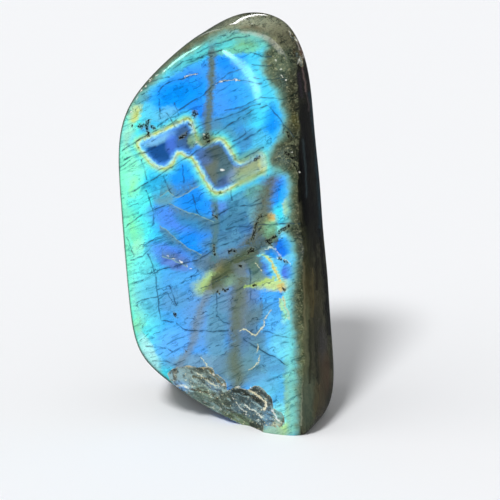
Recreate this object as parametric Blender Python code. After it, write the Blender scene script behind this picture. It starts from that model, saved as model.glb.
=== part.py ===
"""A polished freeform of labradorite, standing on end: one stone, ground to flat faces that
meet in rounded edges, cut flat underneath, and left broken along its lower left edge."""

import math

import bmesh
import bpy
from mathutils import Vector

NODE_NAME = "labradorite_stone"
METRES_PER_MM = 0.001

# All sizes below are in millimetres. The heart is the point inside the stone that its faces
# are measured from, and the stone is cut flat at z = 0.
HEART = Vector((0.0, 0.0, 48.0))

# Each ground face: the azimuth and elevation in degrees of the way it looks, and its distance
# from the heart. Azimuth 0 looks along -Y, as the show face does, and azimuth 90 along +X.
GROUND_FACES = {
    "show face": (0, 5, 14.5),
    "right side": (85, 6.4, 23.5),
    "right back": (125, 3, 21.6),
    "left side": (275, -5, 25.3),
    "left shoulder": (272, 20, 34.0),
    "upper left": (270, 48, 40.8),
    "top": (50, 82, 52.1),
    "top right": (98, 38, 42.6),
    "lower left": (320, -58, 43.9),
    "left heel": (302, -38, 39.9),
    "back": (190, 5, 17.0),
    "lower right": (88, -38, 49.2),
}
EDGE_CRISPNESS = 14.0  # a higher power rounds the edges between the ground faces less

# The hand grinding leaves each face a little wavy: height, length from crest to crest, and the
# azimuth and elevation that each wave runs along.
GRINDING_WAVES = (
    (0.10, 27.0, 70, 20),
    (0.08, 21.0, 330, 60),
    (0.06, 16.0, 20, -35),
)

# Each break is a shell-shaped hollow, as a ball leaves when it is pressed in: the hollow's
# deepest point, the azimuth and elevation that it opens to, and the radius of the ball.
BREAKS = {
    "long chip": ((-2.9, -15.4, 8.4), 356, -2, 15.0),
    "long chip, upper end": ((-5.8, -15.9, 11.2), 346, -14, 9.0),
    "long chip, lower lip": ((-1.8, -14.4, 6.4), 338, -44, 13.0),
    "heel facet": ((-9.0, -12.8, 7.8), 320, -48, 9.0),
    "foot chip": ((8.6, -15.9, 5.2), 358, -4, 13.0),
    "foot chip, pocket": ((10.5, -16.2, 7.5), 6, -4, 6.5),
    "foot chip, lower lip": ((6.6, -15.2, 3.2), 344, -40, 12.0),
    "foot facet": ((16.2, -17.4, 4.6), 350, -14, 7.0),
    "edge nick": ((14.6, 4.6, 94.6), 96, 44, 4.0),
    "edge nick, lower": ((17.2, 0.2, 90.2), 70, 30, 3.0),
    "back hollow": ((-7.0, 16.9, 30.0), 194, 4, 34.0),
    "back hollow, side": ((2.0, 19.1, 21.0), 188, 2, 26.0),
    "back flake": ((12.6, 17.0, 68.0), 176, 10, 20.0),
}

# A broken surface is uneven: height, length, and the azimuth and elevation of each wave.
BREAK_WAVES = (
    (0.16, 6.1, 60, 35),
    (0.13, 4.7, 300, 50),
    (0.09, 3.4, 10, -60),
)

# The stone is pushed out from a block that is cut into cells, and cut finer where it bends
# and at the breaks.
BLOCK_SIZE = (52.0, 38.0, 100.0)
CELL_SIZE = 3.0
BEND_LIMIT = 9.0  # degrees between two cells
BREAK_CUTS = 1
BREAK_REACH = 0.8  # how far past the edge of a break the finer cells run

STONE_COLOUR = (0.05, 0.26, 0.55, 1.0)
STONE_ROUGHNESS = 0.12
STONE_METALLIC = 0.0


def looking(azimuth, elevation):
    """The unit direction for an azimuth and an elevation in degrees."""
    turn = math.radians(azimuth)
    rise = math.radians(elevation)
    return Vector((math.sin(turn) * math.cos(rise), -math.cos(turn) * math.cos(rise), math.sin(rise)))


FACE_PULLS = [looking(turn, rise) / distance for turn, rise, distance in GROUND_FACES.values()]
BREAK_BALLS = [
    (Vector(floor) + looking(turn, rise) * radius, radius)
    for floor, turn, rise, radius in BREAKS.values()
]


def reach_of_faces(direction):
    """How far the ground stone reaches from its heart in a unit direction."""
    pulls = [max(0.0, direction.dot(pull)) for pull in FACE_PULLS]
    strongest = max(pulls)
    total = sum((pull / strongest) ** EDGE_CRISPNESS for pull in pulls)
    return 1.0 / (strongest * total ** (1.0 / EDGE_CRISPNESS))


def waviness(point, waves):
    """The height at a point of a few waves that cross."""
    return sum(
        height * math.sin(math.tau * looking(turn, rise).dot(point) / length)
        for height, length, turn, rise in waves
    )


def reach_of_break(direction, centre, radius):
    """How far a ray from the heart goes before it meets a break's ball, or None."""
    across = centre - HEART
    along = across.dot(direction)
    inside = along * along - across.length_squared + radius * radius
    if inside <= 0.0 or along <= 0.0:
        return None
    return along - math.sqrt(inside)


def surface_point(direction):
    """The point of the stone's surface, above and below the flat cut, in a unit direction."""
    reach = reach_of_faces(direction)
    reach += waviness(HEART + direction * reach, GRINDING_WAVES)
    meetings = [reach_of_break(direction, centre, radius) for centre, radius in BREAK_BALLS]
    meetings = [meeting for meeting in meetings if meeting is not None]
    if meetings:
        deepest = min(meetings)
        reach = min(reach, deepest + waviness(HEART + direction * deepest, BREAK_WAVES))
    return HEART + direction * reach


def push_out(mesh):
    """Carry every vertex along its ray from the heart to the stone's surface."""
    for vertex in mesh.verts:
        vertex.co = surface_point((vertex.co - HEART).normalized())


def cut_into_cells(mesh):
    """Cut the block with evenly spaced planes across each of its three lengths."""
    for axis, length in enumerate(BLOCK_SIZE):
        cells = round(length / CELL_SIZE)
        across = Vector((0.0, 0.0, 0.0))
        across[axis] = 1.0
        for index in range(1, cells):
            place = HEART + across * (length * (index / cells - 0.5))
            geometry = mesh.verts[:] + mesh.edges[:] + mesh.faces[:]
            bmesh.ops.bisect_plane(mesh, geom=geometry, plane_co=place, plane_no=across)


def near_a_break(point):
    """Whether a point is in a break or close to its edge."""
    return any((point - centre).length < radius + BREAK_REACH for centre, radius in BREAK_BALLS)


def divide_cells(mesh, faces, cuts):
    """Divide each edge of some cells, and the cells with them."""
    edges = list({edge for face in faces for edge in face.edges})
    bmesh.ops.subdivide_edges(mesh, edges=edges, cuts=cuts, use_grid_fill=True)


def cut_finer(mesh):
    """Divide the cells where the stone bends, and those that the breaks run through."""
    limit = math.radians(BEND_LIMIT)
    bending = {face for edge in mesh.edges if edge.calc_face_angle(0.0) > limit for face in edge.link_faces}
    divide_cells(mesh, bending, 1)
    push_out(mesh)
    broken = [face for face in mesh.faces if any(near_a_break(vertex.co) for vertex in face.verts)]
    divide_cells(mesh, broken, BREAK_CUTS)
    push_out(mesh)


def cut_base_flat(mesh):
    """Cut the stone off at z = 0 and close the cut with a flat face."""
    geometry = mesh.verts[:] + mesh.edges[:] + mesh.faces[:]
    up = Vector((0.0, 0.0, 1.0))
    bmesh.ops.bisect_plane(mesh, geom=geometry, plane_co=Vector(), plane_no=up, clear_inner=True)
    rim = [edge for edge in mesh.edges if edge.is_boundary]
    for edge in rim:
        for vertex in edge.verts:
            vertex.co.z = 0.0
    bmesh.ops.holes_fill(mesh, edges=rim, sides=0)


def centre_on_base(mesh):
    """Put the middle of the stone's box over the origin, with the flat cut at z = 0."""
    for axis in (0, 1):
        values = [vertex.co[axis] for vertex in mesh.verts]
        middle = (min(values) + max(values)) / 2.0
        for vertex in mesh.verts:
            vertex.co[axis] -= middle


def stone_material():
    """Polished blue labradorite."""
    material = bpy.data.materials.new("labradorite")
    material.use_nodes = True
    shader = material.node_tree.nodes["Principled BSDF"]
    shader.inputs["Base Color"].default_value = STONE_COLOUR
    shader.inputs["Roughness"].default_value = STONE_ROUGHNESS
    shader.inputs["Metallic"].default_value = STONE_METALLIC
    material.diffuse_color = STONE_COLOUR
    return material


def build_stone():
    """The stone as one closed solid, standing on its flat cut."""
    mesh = bmesh.new()
    bmesh.ops.create_cube(mesh, size=1.0)
    for vertex in mesh.verts:
        vertex.co = HEART + vertex.co * Vector(BLOCK_SIZE)
    cut_into_cells(mesh)
    push_out(mesh)
    cut_finer(mesh)
    bmesh.ops.triangulate(mesh, faces=mesh.faces[:], quad_method="SHORT_EDGE")
    cut_base_flat(mesh)
    centre_on_base(mesh)
    bmesh.ops.triangulate(mesh, faces=mesh.faces[:])
    bmesh.ops.recalc_face_normals(mesh, faces=mesh.faces[:])
    bmesh.ops.scale(mesh, vec=Vector((METRES_PER_MM,) * 3), verts=mesh.verts[:])
    data = bpy.data.meshes.new(NODE_NAME)
    mesh.to_mesh(data)
    mesh.free()
    data.shade_smooth()
    data.set_sharp_from_angle(angle=math.radians(40.0))
    data.materials.append(stone_material())
    stone = bpy.data.objects.new(NODE_NAME, data)
    bpy.context.scene.collection.objects.link(stone)
    return stone


def main():
    for item in list(bpy.data.objects):
        bpy.data.objects.remove(item, do_unlink=True)
    build_stone()


main()
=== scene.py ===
"""The looks of a polished labradorite freeform: a fine mesh of the stone, with the flash,
veins, cracks and inclusions of the photograph as a node material, on a pale studio floor."""

import math

import bmesh
import bpy
import numpy as np
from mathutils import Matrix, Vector


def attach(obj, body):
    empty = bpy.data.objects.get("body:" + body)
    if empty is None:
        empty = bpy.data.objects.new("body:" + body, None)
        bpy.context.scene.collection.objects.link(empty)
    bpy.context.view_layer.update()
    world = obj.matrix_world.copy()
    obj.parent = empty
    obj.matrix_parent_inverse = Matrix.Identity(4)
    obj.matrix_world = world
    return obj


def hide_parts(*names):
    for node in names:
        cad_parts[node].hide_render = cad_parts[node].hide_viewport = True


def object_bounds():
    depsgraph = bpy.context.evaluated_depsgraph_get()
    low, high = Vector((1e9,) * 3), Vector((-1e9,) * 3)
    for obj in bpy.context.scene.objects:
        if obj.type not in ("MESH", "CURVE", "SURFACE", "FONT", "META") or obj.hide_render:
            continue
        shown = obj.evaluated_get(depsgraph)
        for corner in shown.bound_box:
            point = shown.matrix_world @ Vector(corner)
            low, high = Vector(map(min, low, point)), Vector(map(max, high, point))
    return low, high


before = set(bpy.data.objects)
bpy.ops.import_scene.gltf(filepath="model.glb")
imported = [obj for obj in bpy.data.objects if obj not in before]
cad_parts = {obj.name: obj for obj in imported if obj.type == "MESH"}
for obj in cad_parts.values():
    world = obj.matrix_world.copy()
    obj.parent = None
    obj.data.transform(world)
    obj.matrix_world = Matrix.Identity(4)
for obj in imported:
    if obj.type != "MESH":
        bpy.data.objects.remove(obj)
CAD_LOW, CAD_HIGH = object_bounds()

# The stone's shape, in millimetres, as its solid has it. A direction is an azimuth and an
# elevation in degrees: azimuth 0 points along -Y, and azimuth 90 along +X.
METRES_PER_MM = 0.001
HEART = np.array((0.0, 0.0, 48.0))

# The faces that the stone is ground to: the direction of each, and its distance from the heart.
GROUND_FACES = {
    "show face": (0, 5, 14.5),
    "right side": (85, 6.4, 23.5),
    "right back": (125, 3, 21.6),
    "left side": (275, -5, 25.3),
    "left shoulder": (272, 20, 34.0),
    "upper left": (270, 48, 40.8),
    "top": (50, 82, 52.1),
    "top right": (98, 38, 42.6),
    "lower left": (320, -58, 43.9),
    "left heel": (302, -38, 39.9),
    "back": (190, 5, 17.0),
    "lower right": (88, -38, 49.2),
}
EDGE_CRISPNESS = 14.0  # the higher it is, the less the edges between the faces are rounded

# The slight waves of the grinding: height, length, and the direction that they run in.
GRINDING_WAVES = (
    (0.10, 27.0, 70, 20),
    (0.08, 21.0, 330, 60),
    (0.06, 16.0, 20, -35),
)

# The breaks along the edges, each scooped by a ball: the deepest point of the scoop, the
# direction that it opens in, and the ball's radius.
BREAKS = {
    "long chip": ((-2.9, -15.4, 8.4), 356, -2, 15.0),
    "long chip, upper end": ((-5.8, -15.9, 11.2), 346, -14, 9.0),
    "long chip, lower lip": ((-1.8, -14.4, 6.4), 338, -44, 13.0),
    "heel facet": ((-9.0, -12.8, 7.8), 320, -48, 9.0),
    "foot chip": ((8.6, -15.9, 5.2), 358, -4, 13.0),
    "foot chip, pocket": ((10.5, -16.2, 7.5), 6, -4, 6.5),
    "foot chip, lower lip": ((6.6, -15.2, 3.2), 344, -40, 12.0),
    "foot facet": ((16.2, -17.4, 4.6), 350, -14, 7.0),
    "edge nick": ((14.6, 4.6, 94.6), 96, 44, 4.0),
    "edge nick, lower": ((17.2, 0.2, 90.2), 70, 30, 3.0),
    "back hollow": ((-7.0, 16.9, 30.0), 194, 4, 34.0),
    "back hollow, side": ((2.0, 19.1, 21.0), 188, 2, 26.0),
    "back flake": ((12.6, 17.0, 68.0), 176, 10, 20.0),
}

# The waves of the broken stone, and its small facets, which meet in ridges: height or depth,
# length, and the direction that they run in.
BREAK_WAVES = (
    (0.16, 6.1, 60, 35),
    (0.13, 4.7, 300, 50),
    (0.09, 3.4, 10, -60),
)
BREAK_CREASES = (
    (0.22, 4.3, 40, 20),
    (0.18, 3.1, 320, 35),
    (0.12, 1.9, 15, -50),
    (0.07, 1.1, 75, 10),
)

# The fine mesh, in millimetres: the block that it is pushed out from, and its cells, which are
# cut finer where a break runs through them or nearly does.
BLOCK_SIZE = (52.0, 38.0, 100.0)
CELL_SIZES = (0.52, 0.85, 0.52)
BREAK_CUTS = 2
BREAK_REACH = 0.3
SHARP_ANGLE = 50.0  # degrees between two faces, past which their edge isn't shaded smooth

# The photograph's view, as the camera sees it: 4 of its 500 pixels are 1 mm at the stone.
VIEW_AZIMUTH = 15.0
VIEW_ELEVATION = 15.0
VIEW_DISTANCE = 500.0
VIEW_AIM = np.array((5.0, 0.0, 41.6))
PICTURE_SIZE = 500.0
PICTURE_FOCUS = 2000.0

# How deep in millimetres a point may lie outside a break, and how far in pixels from an outline,
# before the mesh only says that it is far.
SHALLOWEST_BREAK = -5.0
OUTLINE_REACH = 20.0

# How often the corners of an outline are cut off, and at which share of its sides.
CORNER_CUTS = 2
CORNER_CUT = 0.25

# What the polish shows, placed in the photograph's pixels: x to the right and y down. Colours
# are as the photograph shows them, from 0 to 255. The stone's left edge is given as (y, x), and
# the colours from it inwards by their distance from it.
FLASH_BLUE = (58, 160, 252)
LEFT_EDGE = ((45, 190), (60, 170), (80, 148), (100, 133), (125, 125), (150, 123), (200, 124), (250, 128),
             (285, 131), (330, 128), (345, 131), (365, 140), (392, 160))
LEFT_EDGE_REACH = 60.0
LEFT_EDGE_COLOURS = (
    (1.0, (128, 245, 205)),
    (8.0, (108, 248, 226)),
    (17.0, (88, 238, 243)),
    (26.0, (66, 212, 252)),
    (37.0, (58, 180, 252)),
    (60.0, FLASH_BLUE),
)

# Soft patches of the flash, in the order they are laid: colour, centre, the two radii, the tilt
# of the first one down to the right in degrees, how soft the edge is, and how strong.
FLASH_PATCHES = {
    "cyan by the right edge": ((78, 212, 250), (265, 92), (22, 50), -12, 0.6, 0.85),
    "pale blue above the crown": ((92, 195, 250), (158, 98), (16, 14), -20, 0.6, 0.8),
    "left shoulder blue": ((62, 140, 246), (180, 80), (26, 12), -28, 0.6, 0.8),
    "shoulder azure": ((0, 150, 255), (177, 95), (25, 13), -18, 0.7, 0.97),
    "azure right of the streak": ((18, 140, 250), (230, 58), (15, 12), 10, 0.6, 0.9),
    "periwinkle by the trunk": ((70, 155, 246), (221, 98), (7, 17), 0, 0.8, 0.7),
    "blue under the streak": ((48, 158, 250), (240, 88), (15, 16), 0, 0.6, 0.7),
    "azure left of the trunk": ((22, 132, 250), (201, 116), (9, 12), -10, 0.6, 0.85),
    "hatched cell": ((112, 202, 238), (166, 115), (10, 6), -20, 0.7, 0.8),
    "hatched cell, left": ((92, 204, 240), (149, 114), (9, 8), -20, 0.6, 0.8),
    "cyan middle right": ((70, 216, 252), (259, 118), (13, 9), -25, 0.7, 0.8),
    "bright azure": ((6, 150, 255), (276, 124), (10, 18), 8, 0.6, 0.95),
    "blue middle": ((66, 148, 194), (234, 121), (17, 9), -20, 0.6, 0.85),
    "steel cell": ((70, 148, 192), (240, 142), (18, 9), -24, 0.6, 0.85),
    "cyan below the azure": ((84, 204, 240), (262, 143), (8, 9), 0, 0.7, 0.75),
    "mint left": ((150, 255, 205), (136, 170), (8, 22), 0, 0.7, 0.75),
    "green left": ((170, 246, 120), (135, 187), (4, 8), 15, 0.8, 0.8),
    "green left, middle": ((150, 250, 150), (136, 228), (5, 14), -10, 0.8, 0.8),
    "green left, lower": ((176, 238, 150), (138, 248), (4, 8), 15, 0.8, 0.7),
    "green left, lower end": ((165, 230, 140), (138, 300), (4, 16), -8, 0.8, 0.7),
    "green foot": ((150, 225, 150), (140, 322), (5, 8), 10, 0.8, 0.7),
    "turquoise left": ((92, 246, 240), (142, 205), (9, 26), 0, 0.8, 0.7),
    "turquoise lower left": ((114, 236, 238), (146, 288), (11, 34), -6, 0.8, 0.85),
    "azure under the island": ((22, 150, 252), (186, 178), (20, 13), -28, 0.6, 0.95),
    "azure by the upper feather": ((18, 145, 250), (194, 203), (14, 11), 22, 0.6, 0.9),
    "azure by the lower feather": ((20, 146, 250), (193, 243), (14, 13), 30, 0.6, 0.9),
    "violet under the upper feather": ((78, 130, 232), (171, 219), (19, 10), 18, 0.7, 0.8),
    "violet under the lower feather": ((86, 128, 230), (170, 256), (20, 9), 25, 0.7, 0.8),
    "teal centre": ((84, 150, 170), (246, 205), (24, 17), -18, 0.6, 0.85),
    "green-grey centre": ((104, 166, 146), (256, 192), (9, 7), -20, 0.7, 0.8),
    "steel centre": ((66, 120, 190), (240, 228), (24, 11), -16, 0.7, 0.85),
    "blue by the trunk": ((90, 138, 226), (220, 209), (7, 8), 0, 0.7, 0.75),
    "blue left of the trunk": ((50, 130, 236), (206, 232), (9, 12), 20, 0.7, 0.5),
    "dim blue lower left": ((84, 160, 222), (180, 292), (32, 24), -10, 0.7, 0.75),
    "periwinkle lower middle": ((102, 156, 214), (206, 320), (18, 26), 0, 0.7, 0.85),
    "periwinkle by the vein": ((104, 176, 250), (170, 345), (18, 14), -30, 0.7, 0.75),
    "grey-blue by the column": ((112, 140, 178), (240, 304), (15, 24), 0, 0.7, 0.85),
    "green-blue cell": ((78, 150, 176), (219, 312), (9, 20), 0, 0.7, 0.6),
    "blue lower right": ((94, 186, 248), (274, 345), (18, 40), 0, 0.6, 0.85),
    "violet under the cream crack": ((96, 128, 150), (250, 340), (12, 9), -20, 0.7, 0.85),
    "cyan foot": ((94, 190, 232), (276, 382), (18, 24), -20, 0.7, 0.8),
    "turquoise foot": ((140, 236, 236), (284, 416), (11, 12), -30, 0.6, 0.95),
    "green foot, right": ((196, 236, 120), (288, 429), (9, 5), -10, 0.7, 0.85),
    "blue column": ((70, 138, 250), (281, 180), (9, 17), 8, 0.5, 0.95),
    "azure in the column": ((14, 146, 255), (279, 196), (7, 12), 8, 0.6, 0.95),
    "cyan in the column": ((66, 222, 250), (282, 214), (9, 9), -10, 0.6, 0.95),
    "yellow patch": ((186, 220, 128), (267, 225), (9, 9), -15, 0.7, 0.9),
    "orange in the patch": ((236, 186, 96), (270, 218), (3.5, 3), 30, 0.8, 0.8),
    "mint under the patch": ((136, 236, 206), (271, 231), (9, 5), -20, 0.7, 0.95),
    "smear's fringe": ((184, 214, 104), (216, 279), (21, 10), -30, 0.5, 0.85),
    "smear": ((112, 112, 82), (224, 279), (18, 8), -30, 0.5, 0.95),
    "smear's grey heart": ((110, 116, 112), (219, 284), (11, 5), -34, 0.7, 0.8),
    "orange by the smear": ((150, 124, 52), (223, 265), (8, 5), -20, 0.7, 0.85),
    "olive tongue": ((84, 98, 74), (242, 262), (16, 8), -34, 0.7, 0.85),
    "pale shore of the lobes": ((150, 232, 244), (282, 248), (13, 14), 0, 0.35, 0.8),
    "pale shore of the left lobe": ((160, 226, 232), (270, 253), (9, 6), 20, 0.4, 0.85),
    "violet-blue pool": ((84, 136, 222), (263, 268), (5, 6), 20, 0.7, 0.85),
    "blue between": ((84, 190, 248), (280, 264), (9, 8), 30, 0.6, 0.85),
    "upper lobe": ((8, 132, 255), (284, 246), (9, 9), 0, 0.3, 0.97),
    "left lobe": ((16, 150, 250), (271, 253), (6, 4), 20, 0.5, 0.97),
    "violet lobe": ((76, 108, 220), (288, 272), (7, 6), 0, 0.6, 0.9),
    "yellow shore": ((196, 218, 128), (272, 284), (17, 6), -2, 0.6, 0.9),
    "orange in the shore": ((226, 186, 96), (283, 287), (4, 3), 20, 0.8, 0.7),
    "violet-blue above the column": ((74, 96, 226), (283, 165), (5, 8), 0, 0.7, 0.7),
    "yellow by the column": ((214, 214, 110), (286, 207), (2.5, 7), 5, 0.8, 0.85),
    "gold at the left rim": ((206, 206, 98), (134, 113), (5, 9), 15, 0.7, 0.9),
    "grey at the shoulder": ((92, 104, 116), (141, 96), (6, 8), 35, 0.7, 0.85),
    "blue under the crown": ((70, 120, 220), (148, 133), (7, 5), -15, 0.6, 0.8),
    "mint crown": ((114, 196, 160), (240, 47), (30, 6), -6, 0.6, 0.95),
    "green crown": ((116, 168, 120), (238, 38), (28, 6), -6, 0.7, 1.0),
    "cyan crown": ((84, 210, 222), (226, 45), (10, 3.5), -14, 0.7, 0.75),
    "turquoise rim": ((88, 180, 178), (193, 57), (26, 5), -30, 0.7, 0.9),
    "grey by the trunk": ((110, 140, 170), (222, 300), (8, 12), 0, 0.7, 0.5),
    "grey-green by the feather": ((104, 152, 158), (164, 194), (9, 10), 20, 0.6, 0.85),
    "glinting violet": ((98, 118, 190), (176, 262), (12, 6), 18, 0.7, 0.7),
    "slate by the column": ((96, 128, 170), (246, 300), (9, 28), 0, 0.7, 0.6),
    "green-grey over the chip": ((110, 140, 134), (236, 368), (22, 16), 6, 0.7, 0.9),
    "khaki knot": ((100, 124, 96), (205, 138), (7, 6), 0, 0.7, 0.9),
    "steel by the knot": ((90, 140, 160), (210, 126), (9, 8), 0, 0.8, 0.7),
    "green-grey by the cream line": ((98, 146, 160), (257, 358), (9, 14), 10, 0.8, 0.85),
    "olive under the smear": ((104, 118, 96), (206, 262), (9, 8), -30, 0.8, 0.7),
    "olive-grey centre": ((100, 116, 104), (228, 256), (16, 8), -20, 0.8, 0.75),
    "streaky cyan": ((112, 214, 238), (262, 392), (14, 8), -40, 0.7, 0.6),
    "teal under the upper feather": ((52, 138, 186), (192, 219), (14, 7), 15, 0.7, 0.85),
    "steel-teal centre": ((70, 128, 156), (226, 222), (22, 9), -12, 0.7, 0.85),
    "steel under the centre": ((86, 142, 170), (226, 240), (20, 7), -14, 0.7, 0.85),
    "steel by the lower feather": ((68, 138, 180), (169, 238), (8, 6), 20, 0.7, 0.8),
    "green-grey by the smear": ((128, 168, 146), (234, 280), (11, 5), -14, 0.7, 0.8),
    "steel by the column": ((98, 152, 180), (216, 336), (8, 22), 0, 0.7, 0.85),
    "grey-blue over the chip": ((116, 158, 186), (196, 363), (26, 8), 0, 0.6, 0.9),
    "grey-blue by the long vein": ((90, 156, 204), (174, 300), (12, 8), -10, 0.7, 0.8),
    "slate over the cream crack": ((98, 134, 150), (252, 318), (8, 12), 0, 0.7, 0.75),
    "mint right edge": ((132, 206, 182), (290, 372), (5, 44), 0, 0.7, 0.85),
    "mint right edge, upper": ((160, 236, 200), (286, 306), (4, 14), 8, 0.7, 0.85),
    "pale cyan lower right": ((118, 218, 240), (282, 344), (8, 12), 0, 0.8, 0.8),
    "dim blue lower right": ((90, 158, 202), (271, 363), (14, 6), 24, 0.7, 0.85),
    "blue by the chip": ((98, 166, 214), (262, 380), (10, 8), 20, 0.8, 0.6),
    "teal under the lobes": ((104, 160, 190), (262, 312), (8, 6), -20, 0.7, 0.5),
    "green-grey under the pool": ((120, 148, 122), (256, 280), (9, 6), -20, 0.7, 0.85),
    "olive-grey by the pool": ((98, 136, 146), (255, 263), (5, 8), 10, 0.8, 0.8),
    "pale turquoise heel": ((172, 232, 232), (149, 354), (6, 20), -24, 0.6, 0.9),
    "olive shore under the pool": ((104, 132, 108), (256, 268), (6, 8), 0, 0.7, 0.85),
    "green by the foot": ((142, 188, 152), (291, 404), (5, 26), 0, 0.7, 0.9),
    "mint and cream foot": ((160, 196, 160), (268, 434), (16, 8), 0, 0.6, 0.9),
    "mint by the crossing": ((152, 232, 186), (271, 231), (6, 7), 0, 0.7, 0.9),
    "bright streak": ((110, 176, 200), (163, 138), (12, 6), 0, 0.7, 0.75),
    "bright corner": ((150, 200, 176), (207, 169), (6, 6), 0, 0.7, 0.85),
    "teal between the columns": ((108, 174, 192), (256, 209), (7, 13), 0, 0.7, 0.85),
    "blue by the side": ((26, 120, 236), (286, 248), (6, 6), 0, 0.7, 0.85),
    "cream-green rim, left": ((162, 232, 204), (128, 138), (6, 12), 0, 0.7, 0.8),
    "teal over the island": ((84, 160, 178), (224, 136), (9, 7), 0, 0.7, 0.8),
    "bright blue, left": ((48, 192, 242), (158, 184), (10, 9), 0, 0.8, 0.8),
}

# The yellow-rimmed island in the flash: its outline, which runs down the middle of the rim, the
# rim's colours by their distance from it, which is below 0 inside, and the patches within.
ISLAND_OUTLINE = (
    (134, 142), (150, 136), (170, 127), (183, 120), (190, 118), (193, 127), (197, 141), (203, 145),
    (209, 142), (215, 139), (222, 139), (228, 146), (233, 155), (238, 163), (246, 160), (258, 152),
    (264, 154), (267, 164), (264, 171), (252, 176), (240, 182), (231, 188), (223, 192), (214, 193),
    (209, 187), (203, 176), (197, 166), (193, 158), (186, 156), (179, 152), (175, 157), (172, 165),
    (165, 169), (158, 168), (150, 163), (144, 155),
)
ISLAND_RIM_REACH = 12.0  # pixels either side of the outline that the rim's colours cover
ISLAND_RIM_COLOURS = (
    (-6.5, (84, 150, 236), 0.0),
    (-4.2, (88, 158, 240), 0.6),
    (-2.4, (150, 220, 240), 0.9),
    (-1.0, (206, 234, 186), 1.0),
    (0.6, (178, 194, 104), 1.0),
    (2.0, (168, 234, 172), 0.9),
    (3.8, (126, 234, 206), 0.7),
    (6.5, (88, 230, 250), 0.5),
    (11.0, (80, 215, 250), 0.0),
)
ISLAND_PATCHES = {
    "royal blue": ((56, 116, 212), (161, 153), (16, 14), 0, 0.5, 0.9),
    "navy core": ((22, 76, 138), (161, 150), (13, 11), 10, 0.45, 0.98),
    "royal blue, upper": ((66, 118, 208), (182, 137), (13, 14), -30, 0.5, 0.95),
    "slate, upper": ((62, 96, 134), (186, 136), (8, 12), -10, 0.6, 0.95),
    "slate-blue neck": ((58, 100, 150), (174, 145), (8, 5), -30, 0.6, 0.8),
    "slate": ((80, 108, 112), (219, 163), (20, 24), 45, 0.5, 0.97),
    "olive in the slate": ((104, 112, 98), (211, 158), (6, 22), -2, 0.8, 0.75),
    "lavender edge": ((124, 192, 236), (157, 139), (14, 4.5), -20, 0.7, 0.9),
    "blue neck": ((74, 120, 232), (171, 145), (4, 8), 0, 0.8, 0.6),
    "blue-grey, left": ((80, 112, 168), (203, 157), (8, 8), 30, 0.6, 0.85),
    "dark slate": ((66, 88, 92), (214, 152), (8, 7), -20, 0.7, 0.7),
    "indigo foot": ((70, 92, 136), (225, 184), (7, 5), -20, 0.7, 0.85),
    "hazy right rim": ((140, 165, 196), (236, 174), (5, 10), 30, 0.8, 0.6),
    "khaki lobe": ((146, 160, 118), (250, 168), (13, 10), -24, 0.6, 1.0),
    # A painted highlight.
    "white painted glint in the slate": ((226, 230, 226), (223, 170), (1.6, 1.2), 0, 0.6, 0.9),
}

# What covers the rim here and there.
RIM_PATCHES = {
    "teal over the lobe": ((100, 154, 144), (247, 156), (11, 4), -22, 0.7, 0.75),
    "khaki under the lobe": ((142, 172, 128), (246, 177), (12, 5), -22, 0.8, 0.85),
    "khaki in the lobe": ((152, 172, 138), (252, 167), (8, 6), -22, 0.8, 0.6),
    "lobe's gold side": ((196, 202, 130), (262, 164), (3, 8), -10, 0.8, 0.8),
    "blue under the lobe": ((92, 160, 190), (258, 150), (7, 4), -20, 0.8, 0.5),
    "knot": ((90, 112, 96), (206, 140), (7, 6), 0, 0.7, 0.9),
    "green by the knot": ((134, 174, 124), (193, 140), (4, 6), 10, 0.8, 0.8),
}

# Cloudy grey and olive matter in the flash: colour, half width, strength and the line it follows.
CLOUDS = (
    ((94, 118, 116), 3.6, 1.0, ((212, 34), (212, 60), (211, 85), (209, 105), (208, 135))),
    ((82, 122, 132), 3.2, 0.95, ((208, 140), (213, 175), (215, 205), (215, 235), (214, 262))),
    ((98, 104, 84), 7.5, 0.9, ((291, 150), (282, 162), (270, 180), (265, 200), (262, 216), (258, 232),
                               (248, 246))),
    ((80, 92, 66), 8.0, 0.9, ((278, 236), (262, 244), (248, 254), (236, 262), (224, 274), (212, 284))),
    ((110, 126, 132), 6.0, 0.75, ((241, 262), (242, 300), (240, 330))),
    ((98, 112, 94), 6.0, 0.85, ((241, 276), (238, 300), (236, 320), (234, 350), (237, 380), (236, 396))),
    ((118, 140, 156), 4.0, 0.8, ((208, 290), (201, 310), (196, 328), (192, 345), (181, 362), (176, 378))),
    ((92, 112, 110), 5.0, 0.55, ((246, 322), (258, 316), (262, 306))),
)

# Feather-like fractures, each a bright line, a painted highlight, with a grey-green painted
# shadow on one side of it: the shadow's reach, which is positive where it lies below the line,
# its strength, and the line.
FEATHERS = (
    (-17.0, 0.8, ((160, 196), (168, 190), (176, 197), (188, 193), (204, 183))),
    (13.0, 0.85, ((168, 203), (180, 209), (192, 213), (205, 219), (213, 221))),
    (12.0, 0.9, ((160, 226), (168, 231), (177, 240), (190, 250), (201, 255))),
    (-10.0, 0.75, ((162, 257), (172, 259), (181, 264), (188, 267))),
)

# Cleavage hairlines, in sets: how far apart the lines of a set are in pixels, their tilt, their
# half width, the length of their pieces, and their strength.
HAIRLINES = (
    (9.0, -24, 0.5, 80.0, 0.75),
    (14.0, -31, 0.45, 54.0, 0.75),
    (6.0, -19, 0.36, 34.0, 0.32),
    (21.0, 84, 0.42, 26.0, 0.7),
)

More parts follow.
